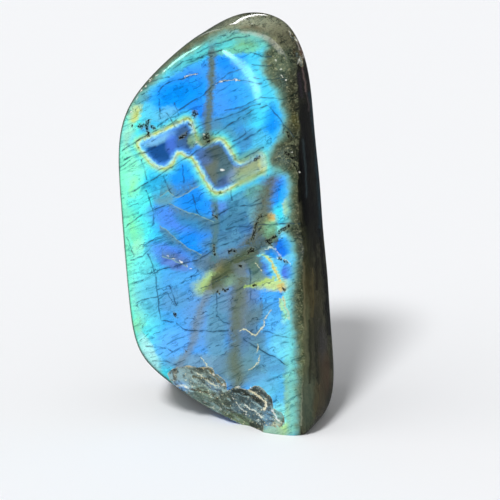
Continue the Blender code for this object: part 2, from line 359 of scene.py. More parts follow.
# The dark cracks: half width and line.
CRACKS = (
    (0.54, ((157, 127), (167, 119), (178, 111), (203, 95), (207, 90))),
    (0.34, ((160, 130), (168, 126), (177, 120))),
    (0.48, ((122, 152), (135, 142), (147, 136), (165, 126))),
    (0.48, ((124, 159), (136, 155), (147, 153), (156, 146))),
    (0.48, ((131, 192), (147, 184), (160, 175), (182, 161), (194, 153), (210, 143))),
    (0.41, ((195, 129), (205, 124), (227, 117), (252, 106), (262, 103))),
    (0.48, ((214, 135), (226, 127), (240, 118), (255, 109), (268, 105))),
    (0.48, ((268, 105), (274, 112), (281, 120), (288, 129), (294, 137))),
    (0.34, ((233, 142), (243, 136), (253, 128))),
    (0.41, ((229, 149), (245, 139), (262, 129))),
    (0.41, ((245, 157), (255, 152), (264, 147))),
    (0.41, ((127, 226), (140, 217), (150, 212), (168, 204))),
    (0.41, ((142, 247), (152, 241), (165, 236))),
    (0.54, ((128, 286), (150, 277), (160, 270), (178, 265), (196, 261), (214, 250))),
    (0.41, ((213, 250), (228, 243), (240, 238), (252, 233), (262, 227))),
    (0.41, ((147, 84), (160, 78), (170, 76))),
    (0.54, ((158, 92), (166, 83), (177, 79), (188, 77), (198, 73))),
    (0.61, ((202, 96), (212, 86), (219, 81), (232, 80), (246, 81), (262, 84))),
    (0.34, ((221, 79), (232, 73), (244, 68))),
    (0.54, ((170, 71), (183, 62), (198, 58), (212, 52), (222, 50))),
    (0.41, ((197, 52), (215, 44), (235, 38), (250, 36))),
    (0.41, ((234, 49), (243, 53), (252, 52), (262, 56), (271, 56))),
    (0.34, ((252, 64), (262, 65), (272, 65))),
    (0.34, ((254, 78), (270, 79), (286, 80))),
    (0.34, ((224, 110), (240, 107), (262, 97), (285, 99))),
    (0.41, ((206, 222), (217, 214), (236, 206), (250, 205), (262, 203))),
    (0.48, ((225, 229), (243, 226), (262, 225), (288, 224), (304, 223))),
    (0.54, ((176, 323), (184, 329), (198, 331), (214, 331), (229, 330))),
    (0.34, ((216, 316), (222, 321), (230, 324))),
    (0.34, ((139, 341), (150, 333))),
    (0.34, ((144, 346), (160, 346), (168, 348), (173, 352))),
    (0.41, ((152, 361), (166, 360), (177, 366))),
    (0.54, ((243, 339), (252, 345), (262, 350), (275, 357), (289, 366))),
    (0.34, ((262, 331), (278, 335), (296, 338))),
    (0.34, ((200, 288), (214, 283), (228, 276))),
    (0.34, ((156, 289), (163, 288), (170, 287))),
    (0.34, ((118, 168), (130, 160), (142, 152))),
    (0.34, ((130, 260), (142, 256), (150, 249))),
    (0.34, ((136, 304), (150, 297), (166, 293), (176, 306))),
    (0.41, ((159, 98), (160, 109), (160, 119))),
    (0.34, ((174, 103), (177, 110), (179, 116))),
    (0.41, ((141, 160), (144, 170), (148, 181))),
    (0.34, ((184, 165), (183, 174), (184, 184))),
    (0.34, ((163, 176), (166, 184), (172, 193))),
    (0.41, ((146, 190), (150, 202), (154, 213), (153, 226))),
    (0.34, ((192, 194), (195, 206), (198, 214))),
    (0.34, ((148, 253), (153, 264), (156, 278), (157, 296), (160, 311), (161, 321))),
    (0.34, ((161, 321), (168, 322), (174, 322))),
    (0.41, ((170, 287), (173, 296), (177, 306))),
    (0.34, ((216, 292), (216, 304), (217, 318))),
    (0.41, ((250, 268), (250, 286), (251, 300))),
    (0.34, ((127, 238), (131, 246), (134, 256))),
    (0.34, ((231, 190), (232, 197), (233, 200))),
    (0.34, ((283, 122), (285, 128), (283, 134))),
    (0.34, ((166, 112), (172, 121), (175, 128))),
)

# Strokes of black matter: half width and line.
BLACK_SPOTS = (
    (1.5, ((138, 125), (141, 127), (144, 124))),
    (1.4, ((146, 128), (147, 124), (149, 119))),
    (1.1, ((150, 126), (153, 127), (156, 128))),
    (1.0, ((147, 128), (148, 132), (148, 137))),
    (1.3, ((191, 115), (194, 114), (198, 113))),
    (1.0, ((194, 110), (194, 114), (195, 118))),
    (1.8, ((203, 138), (206, 138), (210, 139))),
    (1.3, ((207, 133), (207, 137), (208, 143))),
    (0.8, ((131, 126), (132, 126), (133, 126))),
    (0.8, ((188, 124), (190, 125), (192, 126))),
    (1.0, ((178, 139), (183, 136), (187, 133))),
    (1.1, ((254, 160), (257, 159), (260, 157))),
    (1.3, ((287, 131), (289, 136), (292, 140))),
    (1.3, ((284, 152), (289, 155), (294, 159))),
    (1.0, ((293, 163), (297, 168), (300, 175))),
    (1.3, ((290, 225), (284, 229), (278, 233))),
    (1.2, ((276, 236), (271, 239), (266, 242))),
    (1.4, ((265, 239), (268, 243), (272, 244))),
    (1.3, ((247, 254), (250, 250), (254, 250))),
    (1.2, ((228, 252), (232, 250), (237, 252))),
    (1.1, ((257, 222), (255, 230), (252, 240))),
    (1.1, ((258, 219), (260, 217), (262, 215))),
    (1.0, ((217, 291), (218, 292), (220, 293))),
    (1.0, ((222, 288), (224, 291), (229, 289))),
    (1.0, ((238, 266), (240, 266), (242, 267))),
    (1.1, ((252, 285), (254, 285), (257, 284))),
    (1.0, ((278, 258), (280, 258), (282, 260))),
    (1.0, ((284, 261), (286, 262), (288, 262))),
    (1.0, ((173, 314), (175, 315), (177, 317))),
    (0.8, ((185, 351), (186, 351), (187, 352))),
    (0.9, ((212, 214), (215, 216), (218, 218))),
    (0.8, ((214, 244), (214, 250), (215, 255))),
    (1.0, ((282, 287), (284, 289), (286, 291))),
)

# Cream-coloured hairlines, wiggly where the stone has healed: half width and line.
CREAM_LINES = (
    (0.46, ((271, 310), (267, 316), (264, 320), (264, 325))),
    (0.60, ((264, 325), (259, 332), (255, 336))),
    (0.60, ((255, 336), (249, 332), (245, 329))),
    (0.40, ((245, 329), (242, 330), (239, 331))),
    (0.40, ((258, 344), (258, 349), (257, 353))),
    (0.40, ((260, 355), (259, 361), (255, 366))),
    (0.40, ((255, 366), (252, 368), (249, 370))),
    (0.40, ((218, 82), (223, 80), (227, 81))),
    (0.27, ((227, 81), (234, 80), (240, 80))),
    (0.33, ((184, 77), (190, 75), (197, 74))),
    (0.33, ((200, 357), (207, 365), (214, 373), (222, 379))),
    (0.33, ((256, 263), (259, 267), (262, 271))),
)

# Yellow and orange shores that border the right lobes: colour, half width, strength and line.
GOLD_LINES = (
    ((120, 222, 236), 4.0, 0.7, ((261, 255), (268, 259), (272, 264), (275, 272), (279, 280))),
    ((206, 228, 130), 1.6, 0.8, ((262, 256), (268, 259), (273, 264), (276, 272), (280, 281))),
    ((236, 190, 96), 0.7, 0.7, ((268, 259), (273, 264), (276, 272), (280, 281))),
    ((226, 196, 100), 1.1, 0.8, ((284, 296), (285, 304), (287, 312), (290, 319))),
    ((196, 232, 136), 1.6, 0.7, ((281, 298), (282, 307), (286, 317))),
    ((236, 244, 240), 0.6, 0.7, ((277, 257), (283, 258), (288, 261), (290, 264))),
    ((220, 236, 228), 0.5, 0.6, ((264, 250), (270, 247), (277, 249), (282, 255))),
    ((180, 212, 112), 1.8, 0.8, ((244, 287), (254, 286), (264, 282), (274, 277))),
    ((176, 200, 110), 1.1, 0.4, ((204, 278), (201, 284), (203, 291))),
)

# Painted glints, which are painted highlights where the stone is chipped or healed: the place,
# the half length and the tilt.
PAINTED_GLINTS = (
    (289, 25, 2.2, 70), (290, 33, 2.6, 60), (296, 40, 3.0, 50), (303, 56, 2.0, 80), (299, 61, 3.4, -60),
    (281, 69, 1.2, 0), (282, 76, 1.6, 40), (286, 80, 1.2, -30), (276, 60, 0.8, 0), (150, 80, 1.6, -40),
    (157, 75, 1.8, -38), (164, 71, 1.4, -36), (137, 98, 1.4, -60), (141, 91, 1.6, -50), (146, 86, 1.2, -45),
    (168, 256, 1.4, 0), (174, 259, 2.0, 14), (181, 262, 1.6, 30), (187, 266, 1.4, 20), (191, 269, 1.0, 0),
    (197, 142, 1.2, 0), (204, 134, 1.2, 60), (221, 82, 1.8, -20), (216, 84, 1.0, 0), (236, 80, 1.2, 0),
    (178, 386, 2.0, 10), (186, 387, 1.6, 20), (214, 375, 1.8, 40), (224, 385, 1.6, 20), (238, 387, 2.2, 0),
    (205, 402, 1.6, 10), (212, 407, 1.8, 20), (221, 409, 1.2, 0), (233, 398, 1.4, 40), (246, 414, 1.6, 20),
    (262, 399, 2.0, 45), (267, 406, 1.8, 80), (274, 413, 2.4, 60), (279, 421, 1.8, 70), (258, 420, 1.4, 10),
    (251, 388, 1.4, 30), (131, 112, 1.0, 0), (252, 24, 0.8, 0), (300, 172, 1.0, 90), (292, 152, 0.9, 0),
)
PAINTED_GLINT_COLOUR = (232, 234, 220)
PAINTED_GLINT_HALF_WIDTH = 0.55

# The part of the show face that flashes: its outline, past the stone's own edge where the flash
# runs over it, and the colours along the outline by their distance from it, below 0 inside.
FLASH_OUTLINE = (
    (112, 160), (119, 130), (129, 108), (141, 96), (151, 86), (162, 76), (172, 67), (184, 58), (196, 50),
    (206, 44), (215, 38), (226, 34), (238, 34), (250, 35), (260, 37), (266, 44), (263, 52), (261, 62),
    (262, 72), (268, 82), (275, 90), (279, 99), (282, 110), (284, 122), (281, 133), (275, 143), (268, 150),
    (267, 160), (271, 168), (279, 172), (287, 175), (289, 182), (287, 196), (287, 208), (287, 221),
    (281, 230), (288, 237), (293, 248), (294, 264), (293, 279), (290, 289), (289, 300), (291, 316),
    (292, 330), (294, 344), (294, 370), (294, 395), (295, 425), (295, 445), (250, 440), (190, 420),
    (140, 390), (110, 320), (106, 240),
)
FLASH_EDGE = (5.0, -3.0)  # pixels past its outline where the flash has gone, and where it is whole
FLASH_FRINGE_REACH = 16.0  # pixels either side of the outline that the fringe's colours cover
FLASH_FRINGE_COLOURS = (
    (-9.0, (84, 222, 250), 0.0),
    (-4.0, (92, 222, 246), 0.3),
    (-0.5, (112, 200, 196), 0.6),
    (2.5, (110, 160, 146), 0.75),
    (5.0, (92, 122, 106), 0.6),
    (8.0, (80, 96, 76), 0.35),
    (11.0, (84, 88, 62), 0.0),
)

# The quiet stone around the flash on the show face.
BAND_PATCHES = {
    # The crown's olive, made lighter by a painted sheen of the polish.
    "olive crown with a painted sheen": ((200, 208, 176), (246, 27), (36, 10), 0, 0.6, 0.95),
    "brown under the arc": ((150, 128, 98), (250, 30), (11, 3.5), 0, 0.8, 0.7),
    "grey-olive rim": ((112, 116, 92), (172, 58), (34, 8), -36, 0.7, 0.8),
    "orange shore": ((142, 110, 52), (267, 66), (4, 14), 8, 0.7, 0.85),
    "green-grey window": ((92, 112, 92), (279, 62), (12, 22), -10, 0.7, 0.9),
    "green-grey window, lower": ((72, 100, 96), (284, 92), (7, 15), -10, 0.7, 0.85),
    "brown shoulder": ((152, 148, 116), (280, 36), (12, 9), 35, 0.7, 0.6),
    "dark band": ((44, 46, 32), (294, 98), (6, 20), -8, 0.7, 0.95),
    "amber": ((92, 90, 44), (295, 122), (4, 8), -8, 0.7, 0.8),
    "dark mottle": ((48, 54, 40), (290, 138), (10, 10), 0, 0.7, 0.9),
    "grey mottle": ((88, 108, 100), (277, 158), (12, 9), -10, 0.7, 0.9),
    "black mottle": ((30, 36, 30), (296, 152), (6, 10), 0, 0.7, 0.9),
    "khaki band": ((84, 92, 64), (294, 186), (5, 16), 0, 0.7, 0.8),
    "grey-gold by the column": ((112, 128, 104), (290, 214), (5, 8), 0, 0.7, 0.8),
    "green-black crossing": ((46, 56, 44), (290, 232), (12, 6), -20, 0.7, 0.9),
    "grey-violet band": ((88, 108, 124), (297, 258), (5, 18), 0, 0.7, 0.85),
    "slate cove": ((60, 82, 92), (295, 297), (6, 9), 10, 0.6, 0.85),
    "brown band": ((56, 66, 46), (301, 302), (5, 32), 0, 0.7, 0.95),
    "olive band": ((104, 112, 76), (300, 360), (5, 24), 0, 0.7, 0.9),
    "grey-olive foot": ((88, 104, 86), (301, 404), (6, 26), 0, 0.7, 0.9),
    "green foot of the band": ((110, 126, 96), (294, 420), (4, 10), 0, 0.8, 0.8),
    "dark by the side": ((52, 58, 50), (296, 242), (6, 12), 0, 0.7, 0.85),
}

# The right side, seen edge on: where it begins, given as (y, x), and its patches and streaks.
# Its black is partly a painted dark reflection, and some streaks are painted reflections and
# painted highlights.
SIDE_EDGE_SOFTNESS = 1.2  # pixels either side of where it begins
SIDE_LINE_SOFTNESS = 1.3
SIDE_EDGE = ((20, 294), (38, 295), (55, 301), (66, 297), (80, 297), (100, 298), (125, 300), (150, 299),
             (175, 298), (200, 298), (225, 300), (240, 303), (300, 303), (360, 304), (430, 300))
SIDE_PATCHES = {
    # Black stone, and partly a painted dark reflection in the polish.
    "black": ((5, 6, 9), (310, 150), (17, 92), -4, 0.16, 1.0),
    "umber facet": ((142, 116, 96), (299, 46), (5, 10), -20, 0.6, 0.9),
    "grey facet": ((120, 124, 128), (294, 33), (5, 9), -35, 0.6, 0.8),
    "greenish start": ((36, 40, 26), (301, 118), (3, 22), 0, 0.7, 0.85),
    "green-black, upper": ((20, 24, 16), (306, 232), (7, 12), 0, 0.8, 0.9),
    "black tongue": ((14, 13, 10), (310, 246), (3, 18), 0, 0.7, 0.8),
    "green-brown": ((46, 50, 34), (306, 266), (5, 24), 0, 0.8, 0.7),
    "brown": ((72, 66, 42), (310, 300), (8, 26), 0, 0.8, 0.7),
    "grey-green": ((80, 86, 64), (306, 350), (4, 36), 0, 0.8, 0.8),
    "dark grey": ((52, 53, 45), (316, 348), (6, 30), 0, 0.8, 0.8),
    "violet-grey": ((86, 82, 88), (323, 344), (3, 14), 0, 0.8, 0.5),
    "russet": ((98, 78, 62), (326, 374), (3, 16), 0, 0.8, 0.7),
    "green-grey foot": ((68, 80, 68), (308, 404), (7, 22), 0, 0.8, 0.8),
    "brown foot": ((86, 78, 58), (320, 406), (5, 16), 0, 0.8, 0.8),
}
SIDE_STREAKS_AND_PAINTED_REFLECTIONS = (
    # This black band is black stone with a painted dark reflection on it.
    ((7, 8, 10), 3.4, 0.85, ((303, 104), (304, 150), (305, 200), (307, 226))),
    ((30, 70, 84), 1.4, 0.6, ((309, 92), (313, 115), (316, 150), (319, 190), (321, 236))),
    ((58, 74, 78), 0.8, 0.7, ((303, 138), (305, 165), (307, 198))),
    # The next two lines are a painted pinkish reflection.
    ((128, 108, 104), 0.8, 0.7, ((301, 60), (303, 70), (306, 92))),
    ((110, 96, 92), 0.6, 0.6, ((304, 70), (306, 84), (309, 112))),
    ((60, 52, 62), 1.2, 0.8, ((299, 72), (300, 84), (302, 98))),
    ((6, 6, 8), 2.2, 0.95, ((320, 228), (323, 260), (327, 300), (330, 335))),
    ((16, 16, 13), 1.0, 0.8, ((314, 236), (316, 262), (317, 290))),
    ((96, 88, 58), 1.1, 0.6, ((312, 268), (313, 290), (313, 318))),
    ((34, 36, 28), 1.0, 0.8, ((309, 320), (310, 350), (310, 384))),
    ((108, 104, 78), 0.8, 0.5, ((304, 262), (304, 300), (305, 330))),
    ((20, 22, 18), 0.9, 0.8, ((300, 238), (301, 262), (301, 296))),
    ((96, 84, 64), 0.9, 0.6, ((320, 352), (321, 376), (320, 400))),
    # The next two lines are painted highlights along the edge.
    ((230, 226, 220), 0.8, 0.95, ((296, 65), (299, 60), (302, 57))),
    ((205, 205, 200), 0.7, 0.8, ((287, 24), (290, 30), (296, 40), (300, 50))),
    ((168, 172, 150), 0.7, 0.45, ((302, 335), (302, 370), (301, 425))),
)

# The broken edge: its patches, and lines along its ridges, the bright ones painted highlights.
BREAK_PATCHES = {
    "glassy grey": ((116, 142, 142), (200, 380), (34, 18), 12, 0.6, 0.95),
    "glassy grey, right": ((78, 100, 108), (244, 404), (26, 18), 25, 0.6, 0.95),
    "pale blue end": ((156, 196, 206), (176, 376), (9, 10), 0, 0.8, 0.8),
    "smoky brown": ((112, 116, 92), (204, 370), (16, 4), 8, 0.8, 0.5),
    "brown left edge": ((124, 108, 70), (175, 372), (2, 9), 0, 0.8, 0.7),
    "blue facet": ((112, 172, 232), (184, 391), (11, 7), 32, 0.5, 0.97),
    "olive-gold facets": ((124, 144, 122), (203, 398), (15, 9), 24, 0.7, 0.85),
    "teal lower edge": ((116, 142, 132), (204, 406), (22, 6), 24, 0.7, 0.9),
    "navy crease": ((84, 104, 122), (221, 389), (5, 6), 0, 0.8, 0.7),
    "olive neck": ((88, 100, 84), (226, 402), (5, 14), -10, 0.7, 0.9),
    "dark hollow": ((56, 62, 58), (253, 398), (11, 6), 24, 0.7, 0.9),
    "teal basin": ((78, 108, 118), (252, 410), (16, 8), 25, 0.7, 0.85),
    "bright blue": ((110, 158, 186), (269, 416), (5, 8), 10, 0.6, 0.85),
    "green lower edge": ((140, 164, 120), (242, 422), (14, 4), 24, 0.8, 0.8),
    "cream pebble": ((196, 206, 176), (276, 427), (4, 4), 0, 0.7, 0.8),
    "dark lip": ((50, 56, 48), (256, 426), (5, 3), 20, 0.8, 0.8),
    "mint foot": ((136, 200, 196), (278, 412), (4, 8), 0, 0.7, 0.85),
    "steel facet": ((108, 142, 168), (214, 386), (7, 4), 30, 0.5, 0.7),
    "pale facet": ((150, 172, 164), (194, 376), (8, 4), 10, 0.5, 0.7),
    "dark facet": ((66, 84, 84), (240, 398), (7, 4), 24, 0.5, 0.8),
}
BREAK_LINES_AND_HIGHLIGHTS = (
    ((44, 46, 34), 1.6, 0.85, ((232, 390), (242, 391), (252, 397), (260, 402), (262, 406))),
    ((214, 214, 186), 0.6, 0.9, ((196, 372), (204, 378), (212, 384), (220, 386))),
    ((220, 224, 210), 0.6, 0.9, ((244, 404), (250, 409), (256, 411), (262, 418))),
    ((206, 214, 206), 0.5, 0.85, ((236, 402), (240, 408), (246, 412))),
    ((222, 214, 178), 1.0, 0.95, ((228, 387), (236, 386), (244, 387), (252, 392), (260, 397), (266, 403))),
    ((226, 220, 190), 1.1, 0.95, ((266, 402), (266, 406), (264, 410))),
    ((206, 192, 150), 0.9, 0.85, ((178, 365), (188, 366), (198, 366), (207, 368))),
    ((52, 40, 26), 1.0, 0.9, ((176, 363), (188, 364), (200, 365), (208, 366))),
    ((120, 104, 60), 0.9, 0.8, ((208, 368), (214, 376), (221, 384), (229, 387))),
    ((200, 216, 214), 0.8, 0.8, ((178, 385), (184, 386), (190, 389))),
    ((70, 62, 40), 0.9, 0.8, ((189, 389), (198, 390), (208, 393), (219, 399))),
    ((226, 232, 232), 0.9, 0.9, ((272, 410), (275, 415), (278, 421))),
    ((96, 92, 62), 0.8, 0.8, ((192, 377), (205, 378), (214, 382))),
)
BREAK_COLOURS_END = (10.0, 6.0)  # millimetres behind the stone's middle where a break turns quiet

# Stains that a noise or a cell's tone lays on each layer: colour, the values between which it
# comes in, how strong it is, and how it is laid on where it isn't laid plainly.
CELL_STAINS = {
    "dark slats": ((206, 216, 222), 0.6, 1.0, 0.6, "MULTIPLY"),
    "light slats": ((60, 90, 60), 0.35, 0.0, 0.8, "DODGE"),
}
GRAIN_STAINS = {
    "dark grain": ((140, 168, 176), 0.5, 0.78, 0.9, "MULTIPLY"),
    "light grain": ((86, 100, 90), 0.46, 0.22, 0.8, "DODGE"),
}
DUST_STAINS = {
    "dark specks": ((120, 136, 140), 0.6, 0.74, 0.6, "MULTIPLY"),
    "light specks": ((80, 90, 80), 0.38, 0.24, 0.6, "DODGE"),
}
QUIET_STAINS = {
    "khaki flecks": ((128, 124, 92), 0.5, 0.68, 0.7),
    "black flecks": ((24, 26, 21), 0.46, 0.3, 0.85),
}
SHORE_STAINS = {
    "grey-green shore": ((96, 118, 96), 0.5, 0.56, 0.8),
    "teal": ((48, 96, 112), 0.54, 0.6, 0.9),
    "dull blue": ((36, 78, 128), 0.59, 0.68, 0.8),
}
MOTTLE_STAINS = {
    "dark mottle": ((52, 60, 46), 0.5, 0.64, 0.6),
    "light mottle": ((140, 146, 112), 0.46, 0.34, 0.55),
}
GRIT_STAINS = {
    "light grit": ((176, 176, 138), 0.56, 0.66, 0.6),
    "dark grit": ((28, 32, 26), 0.43, 0.34, 0.7),
}
SMOKE_STAINS = {
    "smoke": ((44, 50, 46), 0.5, 0.68, 0.7),
    "pale haze": ((150, 178, 180), 0.46, 0.3, 0.5),
}
STEP_STAINS = {
    "dark steps": ((54, 66, 62), 0.54, 0.62, 0.75),
    "pale steps": ((158, 190, 190), 0.45, 0.36, 0.7),
}

# The other colours of the material.
QUIET_COLOURS = ((50, 53, 41), (100, 100, 78))
SIDE_COLOURS = ((34, 36, 28), (90, 90, 68))
SIDE_BLOTS = (18, 19, 15)
RUST = (104, 78, 42)
SLAT_SHADE = (150, 160, 160)
DARK_STREAKS = (38, 40, 32)
FAR_CRACK = (16, 19, 16)
HAIRLINE_SHADE = (54, 100, 122)
BRIGHT_HAIRLINE = (140, 160, 140)
CLOUD_DIRT = (84, 72, 48)
# The feathers' painted shadow and painted highlight.
FEATHER_PAINTED_SHADOW = (88, 124, 138)
FEATHER_PAINTED_HIGHLIGHT = (138, 180, 170)
CRACK = (12, 52, 74)
CRACK_SHADE = (110, 150, 170)
BLACK = (14, 16, 14)
BLACK_HALO = (140, 150, 120)
CREAM = (224, 226, 190)
CREAM_HALO = (104, 116, 84)
# The dull rim: partly quiet stone and partly a painted dark reflection at the grazing polish.
DULL_RIM_AND_PAINTED_REFLECTION = (84, 98, 84)
GLASSY_STREAKS = (58, 60, 44)
# A painted highlight for the break's glints.
PAINTED_BREAK_GLINTS = (226, 222, 186)
# A painted highlight along the break's lip.
PAINTED_LIP_HIGHLIGHT = (196, 184, 140)

# How far, in pixels, what is drawn wanders from its place: by coarse and by fine noise.
SPOT_WANDER = (2.6, 0.8)
SOFT_WANDER = (4.0, 3.4)
RAGGED_WANDER = 3.2
LATE_WANDER = 0.3
HAIRLINE_WANDER = 2.2  # in the lines' own spacing

# The polish: between which values it is rough, how rough the cracks and breaks are, and how
# strongly the stone bends light.
POLISH_ROUGHNESS = (0.05, 0.1)
CRACK_ROUGHNESS = 0.35
BREAK_ROUGHNESS = 0.3
STONE_IOR = 1.56

LINE_END = 1.2  # pixels past a line's end where it is let go
FAR_AWAY = 100.0  # half widths or radii, farther than anything shows


def looking(azimuth, elevation):
    """The unit direction for an azimuth and an elevation in degrees."""
    turn = math.radians(azimuth)
    rise = math.radians(elevation)
    return np.array((math.sin(turn) * math.cos(rise), -math.cos(turn) * math.cos(rise), math.sin(rise)))


FACE_PULLS = np.array([looking(turn, rise) / distance for turn, rise, distance in GROUND_FACES.values()])
BREAK_BALLS = [
    (np.array(floor) + looking(turn, rise) * radius, radius)
    for floor, turn, rise, radius in BREAKS.values()
]
TO_EYE = looking(VIEW_AZIMUTH, VIEW_ELEVATION)
VIEW_RIGHT = looking(VIEW_AZIMUTH + 90.0, 0.0)
VIEW_UP = np.cross(TO_EYE, VIEW_RIGHT)
EYE = VIEW_AIM + TO_EYE * VIEW_DISTANCE
PICTURE_MIDDLE = PICTURE_SIZE / 2.0


def reach_of_faces(directions):
    """How far the ground stone reaches from its heart in each unit direction."""
    pulls = np.maximum(0.0, directions @ FACE_PULLS.T)
    return 1.0 / (pulls ** EDGE_CRISPNESS).sum(axis=1) ** (1.0 / EDGE_CRISPNESS)


def normals_of_faces(directions):
    """The outward direction of the ground stone's surface in each unit direction."""
    pulls = np.maximum(0.0, directions @ FACE_PULLS.T)
    slopes = (pulls ** (EDGE_CRISPNESS - 1.0)) @ FACE_PULLS
    return slopes / np.linalg.norm(slopes, axis=1, keepdims=True)


def waviness(points, waves):
    """The height at each point of a few waves that cross."""
    return sum(
        height * np.sin(math.tau * (points @ looking(turn, rise)) / length)
        for height, length, turn, rise in waves
    )


def creases(points):
    """The depth at each point of the small facets of the broken stone, which meet in ridges."""
    return sum(
        depth * np.abs(np.sin(math.pi * (points @ looking(turn, rise)) / length))
        for depth, length, turn, rise in BREAK_CREASES
    )


def reach_of_break(directions, centre, radius):
    """How far each ray from the heart goes before it meets a break's ball, or infinity."""
    across = centre - HEART
    along = directions @ across
    inside = along * along - across @ across + radius * radius
    meets = (inside > 0.0) & (along > 0.0)
    return np.where(meets, along - np.sqrt(np.maximum(inside, 0.0)), np.inf)


def surface(directions):
    """The stone's surface in each unit direction, and how deep the breaks go into it there."""
    ground = reach_of_faces(directions)
    ground = ground + waviness(HEART + directions * ground[:, None], GRINDING_WAVES)
    deepest = np.full(len(directions), np.inf)
    for centre, radius in BREAK_BALLS:
        deepest = np.minimum(deepest, reach_of_break(directions, centre, radius))
    near = np.isfinite(deepest)
    broken = deepest.copy()
    points = HEART + directions[near] * deepest[near, None]
    broken[near] += waviness(points, BREAK_WAVES) - creases(points)
    reach = np.minimum(ground, broken)
    return HEART + directions * reach[:, None], ground - broken


def block_cells():
    """The corners and faces of a block's surface, cut into even cells."""
    counts = [round(length / cell) for length, cell in zip(BLOCK_SIZE, CELL_SIZES)]
    numbers = {}
    faces = []
    for axis in range(3):
        first, second = [(axis + 1) % 3, (axis + 2) % 3]
        for end in (0, counts[axis]):
            for i in range(counts[first]):
                for j in range(counts[second]):
                    ring = [(i, j), (i + 1, j), (i + 1, j + 1), (i, j + 1)]
                    if end == 0:
                        ring.reverse()
                    face = []
                    for a, b in ring:
                        steps = [0, 0, 0]
                        steps[axis] = end
                        steps[first] = a
                        steps[second] = b
                        face.append(numbers.setdefault(tuple(steps), len(numbers)))
                    faces.append(face)
    steps = np.array(list(numbers), dtype=float)
    corners = HEART + (steps / counts - 0.5) * np.array(BLOCK_SIZE)
    return corners, faces


def push_out(mesh):
    """Carry every vertex along its ray from the heart to the stone's surface."""
    places = np.array([vertex.co for vertex in mesh.verts]) - HEART
    points, depths = surface(places / np.linalg.norm(places, axis=1, keepdims=True))
    for vertex, point in zip(mesh.verts, points):
        vertex.co = point
    return depths


def cut_finer_at_breaks(mesh, depths):
    """Divide the cells that the breaks run through."""
    mesh.verts.index_update()
    broken = [face for face in mesh.faces if any(depths[v.index] > -BREAK_REACH for v in face.verts)]
    edges = list({edge for face in broken for edge in face.edges})
    bmesh.ops.subdivide_edges(mesh, edges=edges, cuts=BREAK_CUTS, use_grid_fill=True)


def cut_base_flat(mesh):
    """Cut the stone off at z = 0 and close the cut with a flat face."""
    geometry = mesh.verts[:] + mesh.edges[:] + mesh.faces[:]
    up = Vector((0.0, 0.0, 1.0))
    bmesh.ops.bisect_plane(mesh, geom=geometry, plane_co=Vector(), plane_no=up, clear_inner=True)
    rim = [edge for edge in mesh.edges if edge.is_boundary]
    for edge in rim:
        for vertex in edge.verts:
            vertex.co.z = 0.0
    bmesh.ops.holes_fill(mesh, edges=rim, sides=0)


def stone_mesh():
    """The stone's fine mesh, in millimetres from under its heart."""
    corners, faces = block_cells()
    data = bpy.data.meshes.new("stone")
    data.from_pydata(corners.tolist(), [], faces)
    mesh = bmesh.new()
    mesh.from_mesh(data)
    depths = push_out(mesh)
    cut_finer_at_breaks(mesh, depths)
    push_out(mesh)
    bmesh.ops.triangulate(mesh, faces=mesh.faces[:], quad_method="SHORT_EDGE")
    cut_base_flat(mesh)
    bmesh.ops.triangulate(mesh, faces=mesh.faces[:])
    bmesh.ops.recalc_face_normals(mesh, faces=mesh.faces[:])
    mesh.to_mesh(data)
    mesh.free()
    return data


def in_the_picture(points):
    """Where each point, in millimetres, shows in the photograph, in its pixels."""
    from_eye = points - EYE
    scale = PICTURE_FOCUS / -(from_eye @ TO_EYE)
    across = PICTURE_MIDDLE + scale * (from_eye @ VIEW_RIGHT)
    down = PICTURE_MIDDLE - scale * (from_eye @ VIEW_UP)
    return np.stack([across, down], axis=1)


def new_object(name, data):
    """A new object in the scene, of a mesh, a lamp or a camera."""
    thing = bpy.data.objects.new(name, data)
    bpy.context.scene.collection.objects.link(thing)
    return thing


def new_material(name):
    """A new material, and its node tree."""
    material = bpy.data.materials.new(name)
    material.use_nodes = True
    return material, material.node_tree


def add_values(data, name, values):
    """Give a mesh one number for each vertex, for its material to read."""
    attribute = data.attributes.new(name, "FLOAT", "POINT")
    attribute.data.foreach_set("value", np.asarray(values, dtype=np.float32))


def mark_surface(data, points):
    """Give the mesh what its material reads: the picture's pixels, the way each point of the
    ground stone faces, and how deep it is broken."""
    places = points - HEART
    directions = places / np.linalg.norm(places, axis=1, keepdims=True)
    pixels = in_the_picture(points)
    add_values(data, "across", pixels[:, 0])
    add_values(data, "down", pixels[:, 1])
    to_eye = EYE - points
    to_eye /= np.linalg.norm(to_eye, axis=1, keepdims=True)
    add_values(data, "seen", (normals_of_faces(directions) * to_eye).sum(axis=1))
    for name, outline in (("island", ISLAND_OUTLINE), ("flash", FLASH_OUTLINE)):
        add_values(data, name, np.clip(from_outline(pixels, outline), -OUTLINE_REACH, OUTLINE_REACH))
    depths = surface(directions)[1]
    add_values(data, "broken", np.maximum(depths, SHALLOWEST_BREAK))


def make_stone():
    """The fine stone, in place of its plain solid."""
    data = stone_mesh()
    points = np.empty(len(data.vertices) * 3)
    data.vertices.foreach_get("co", points)
    points = points.reshape(-1, 3)
    mark_surface(data, points)
    low = points.min(axis=0)
    high = points.max(axis=0)
    middle = (low + high) / 2.0
    cad_middle = (CAD_LOW + CAD_HIGH) / 2.0
    shift = np.array((cad_middle.x, cad_middle.y, CAD_LOW.z)) / METRES_PER_MM
    shift -= np.array((middle[0], middle[1], 0.0))
    data.vertices.foreach_set("co", ((points + shift) * METRES_PER_MM).ravel())
    data.shade_smooth()
    data.set_sharp_from_angle(angle=math.radians(SHARP_ANGLE))
    return new_object("polished_stone", data), shift


def in_metres(point, shift):
    """A point of the stone's own millimetres as a place in the scene."""
    return Vector((np.asarray(point) + shift) * METRES_PER_MM)


def srgb(red, green, blue):
    """A colour given as the photograph shows it, from 0 to 255, as the shader takes it."""
    linear = []
    for part in (red, green, blue):
        part = part / 255.0
        linear.append(part / 12.92 if part <= 0.04045 else ((part + 0.055) / 1.055) ** 2.4)
    return (*linear, 1.0)


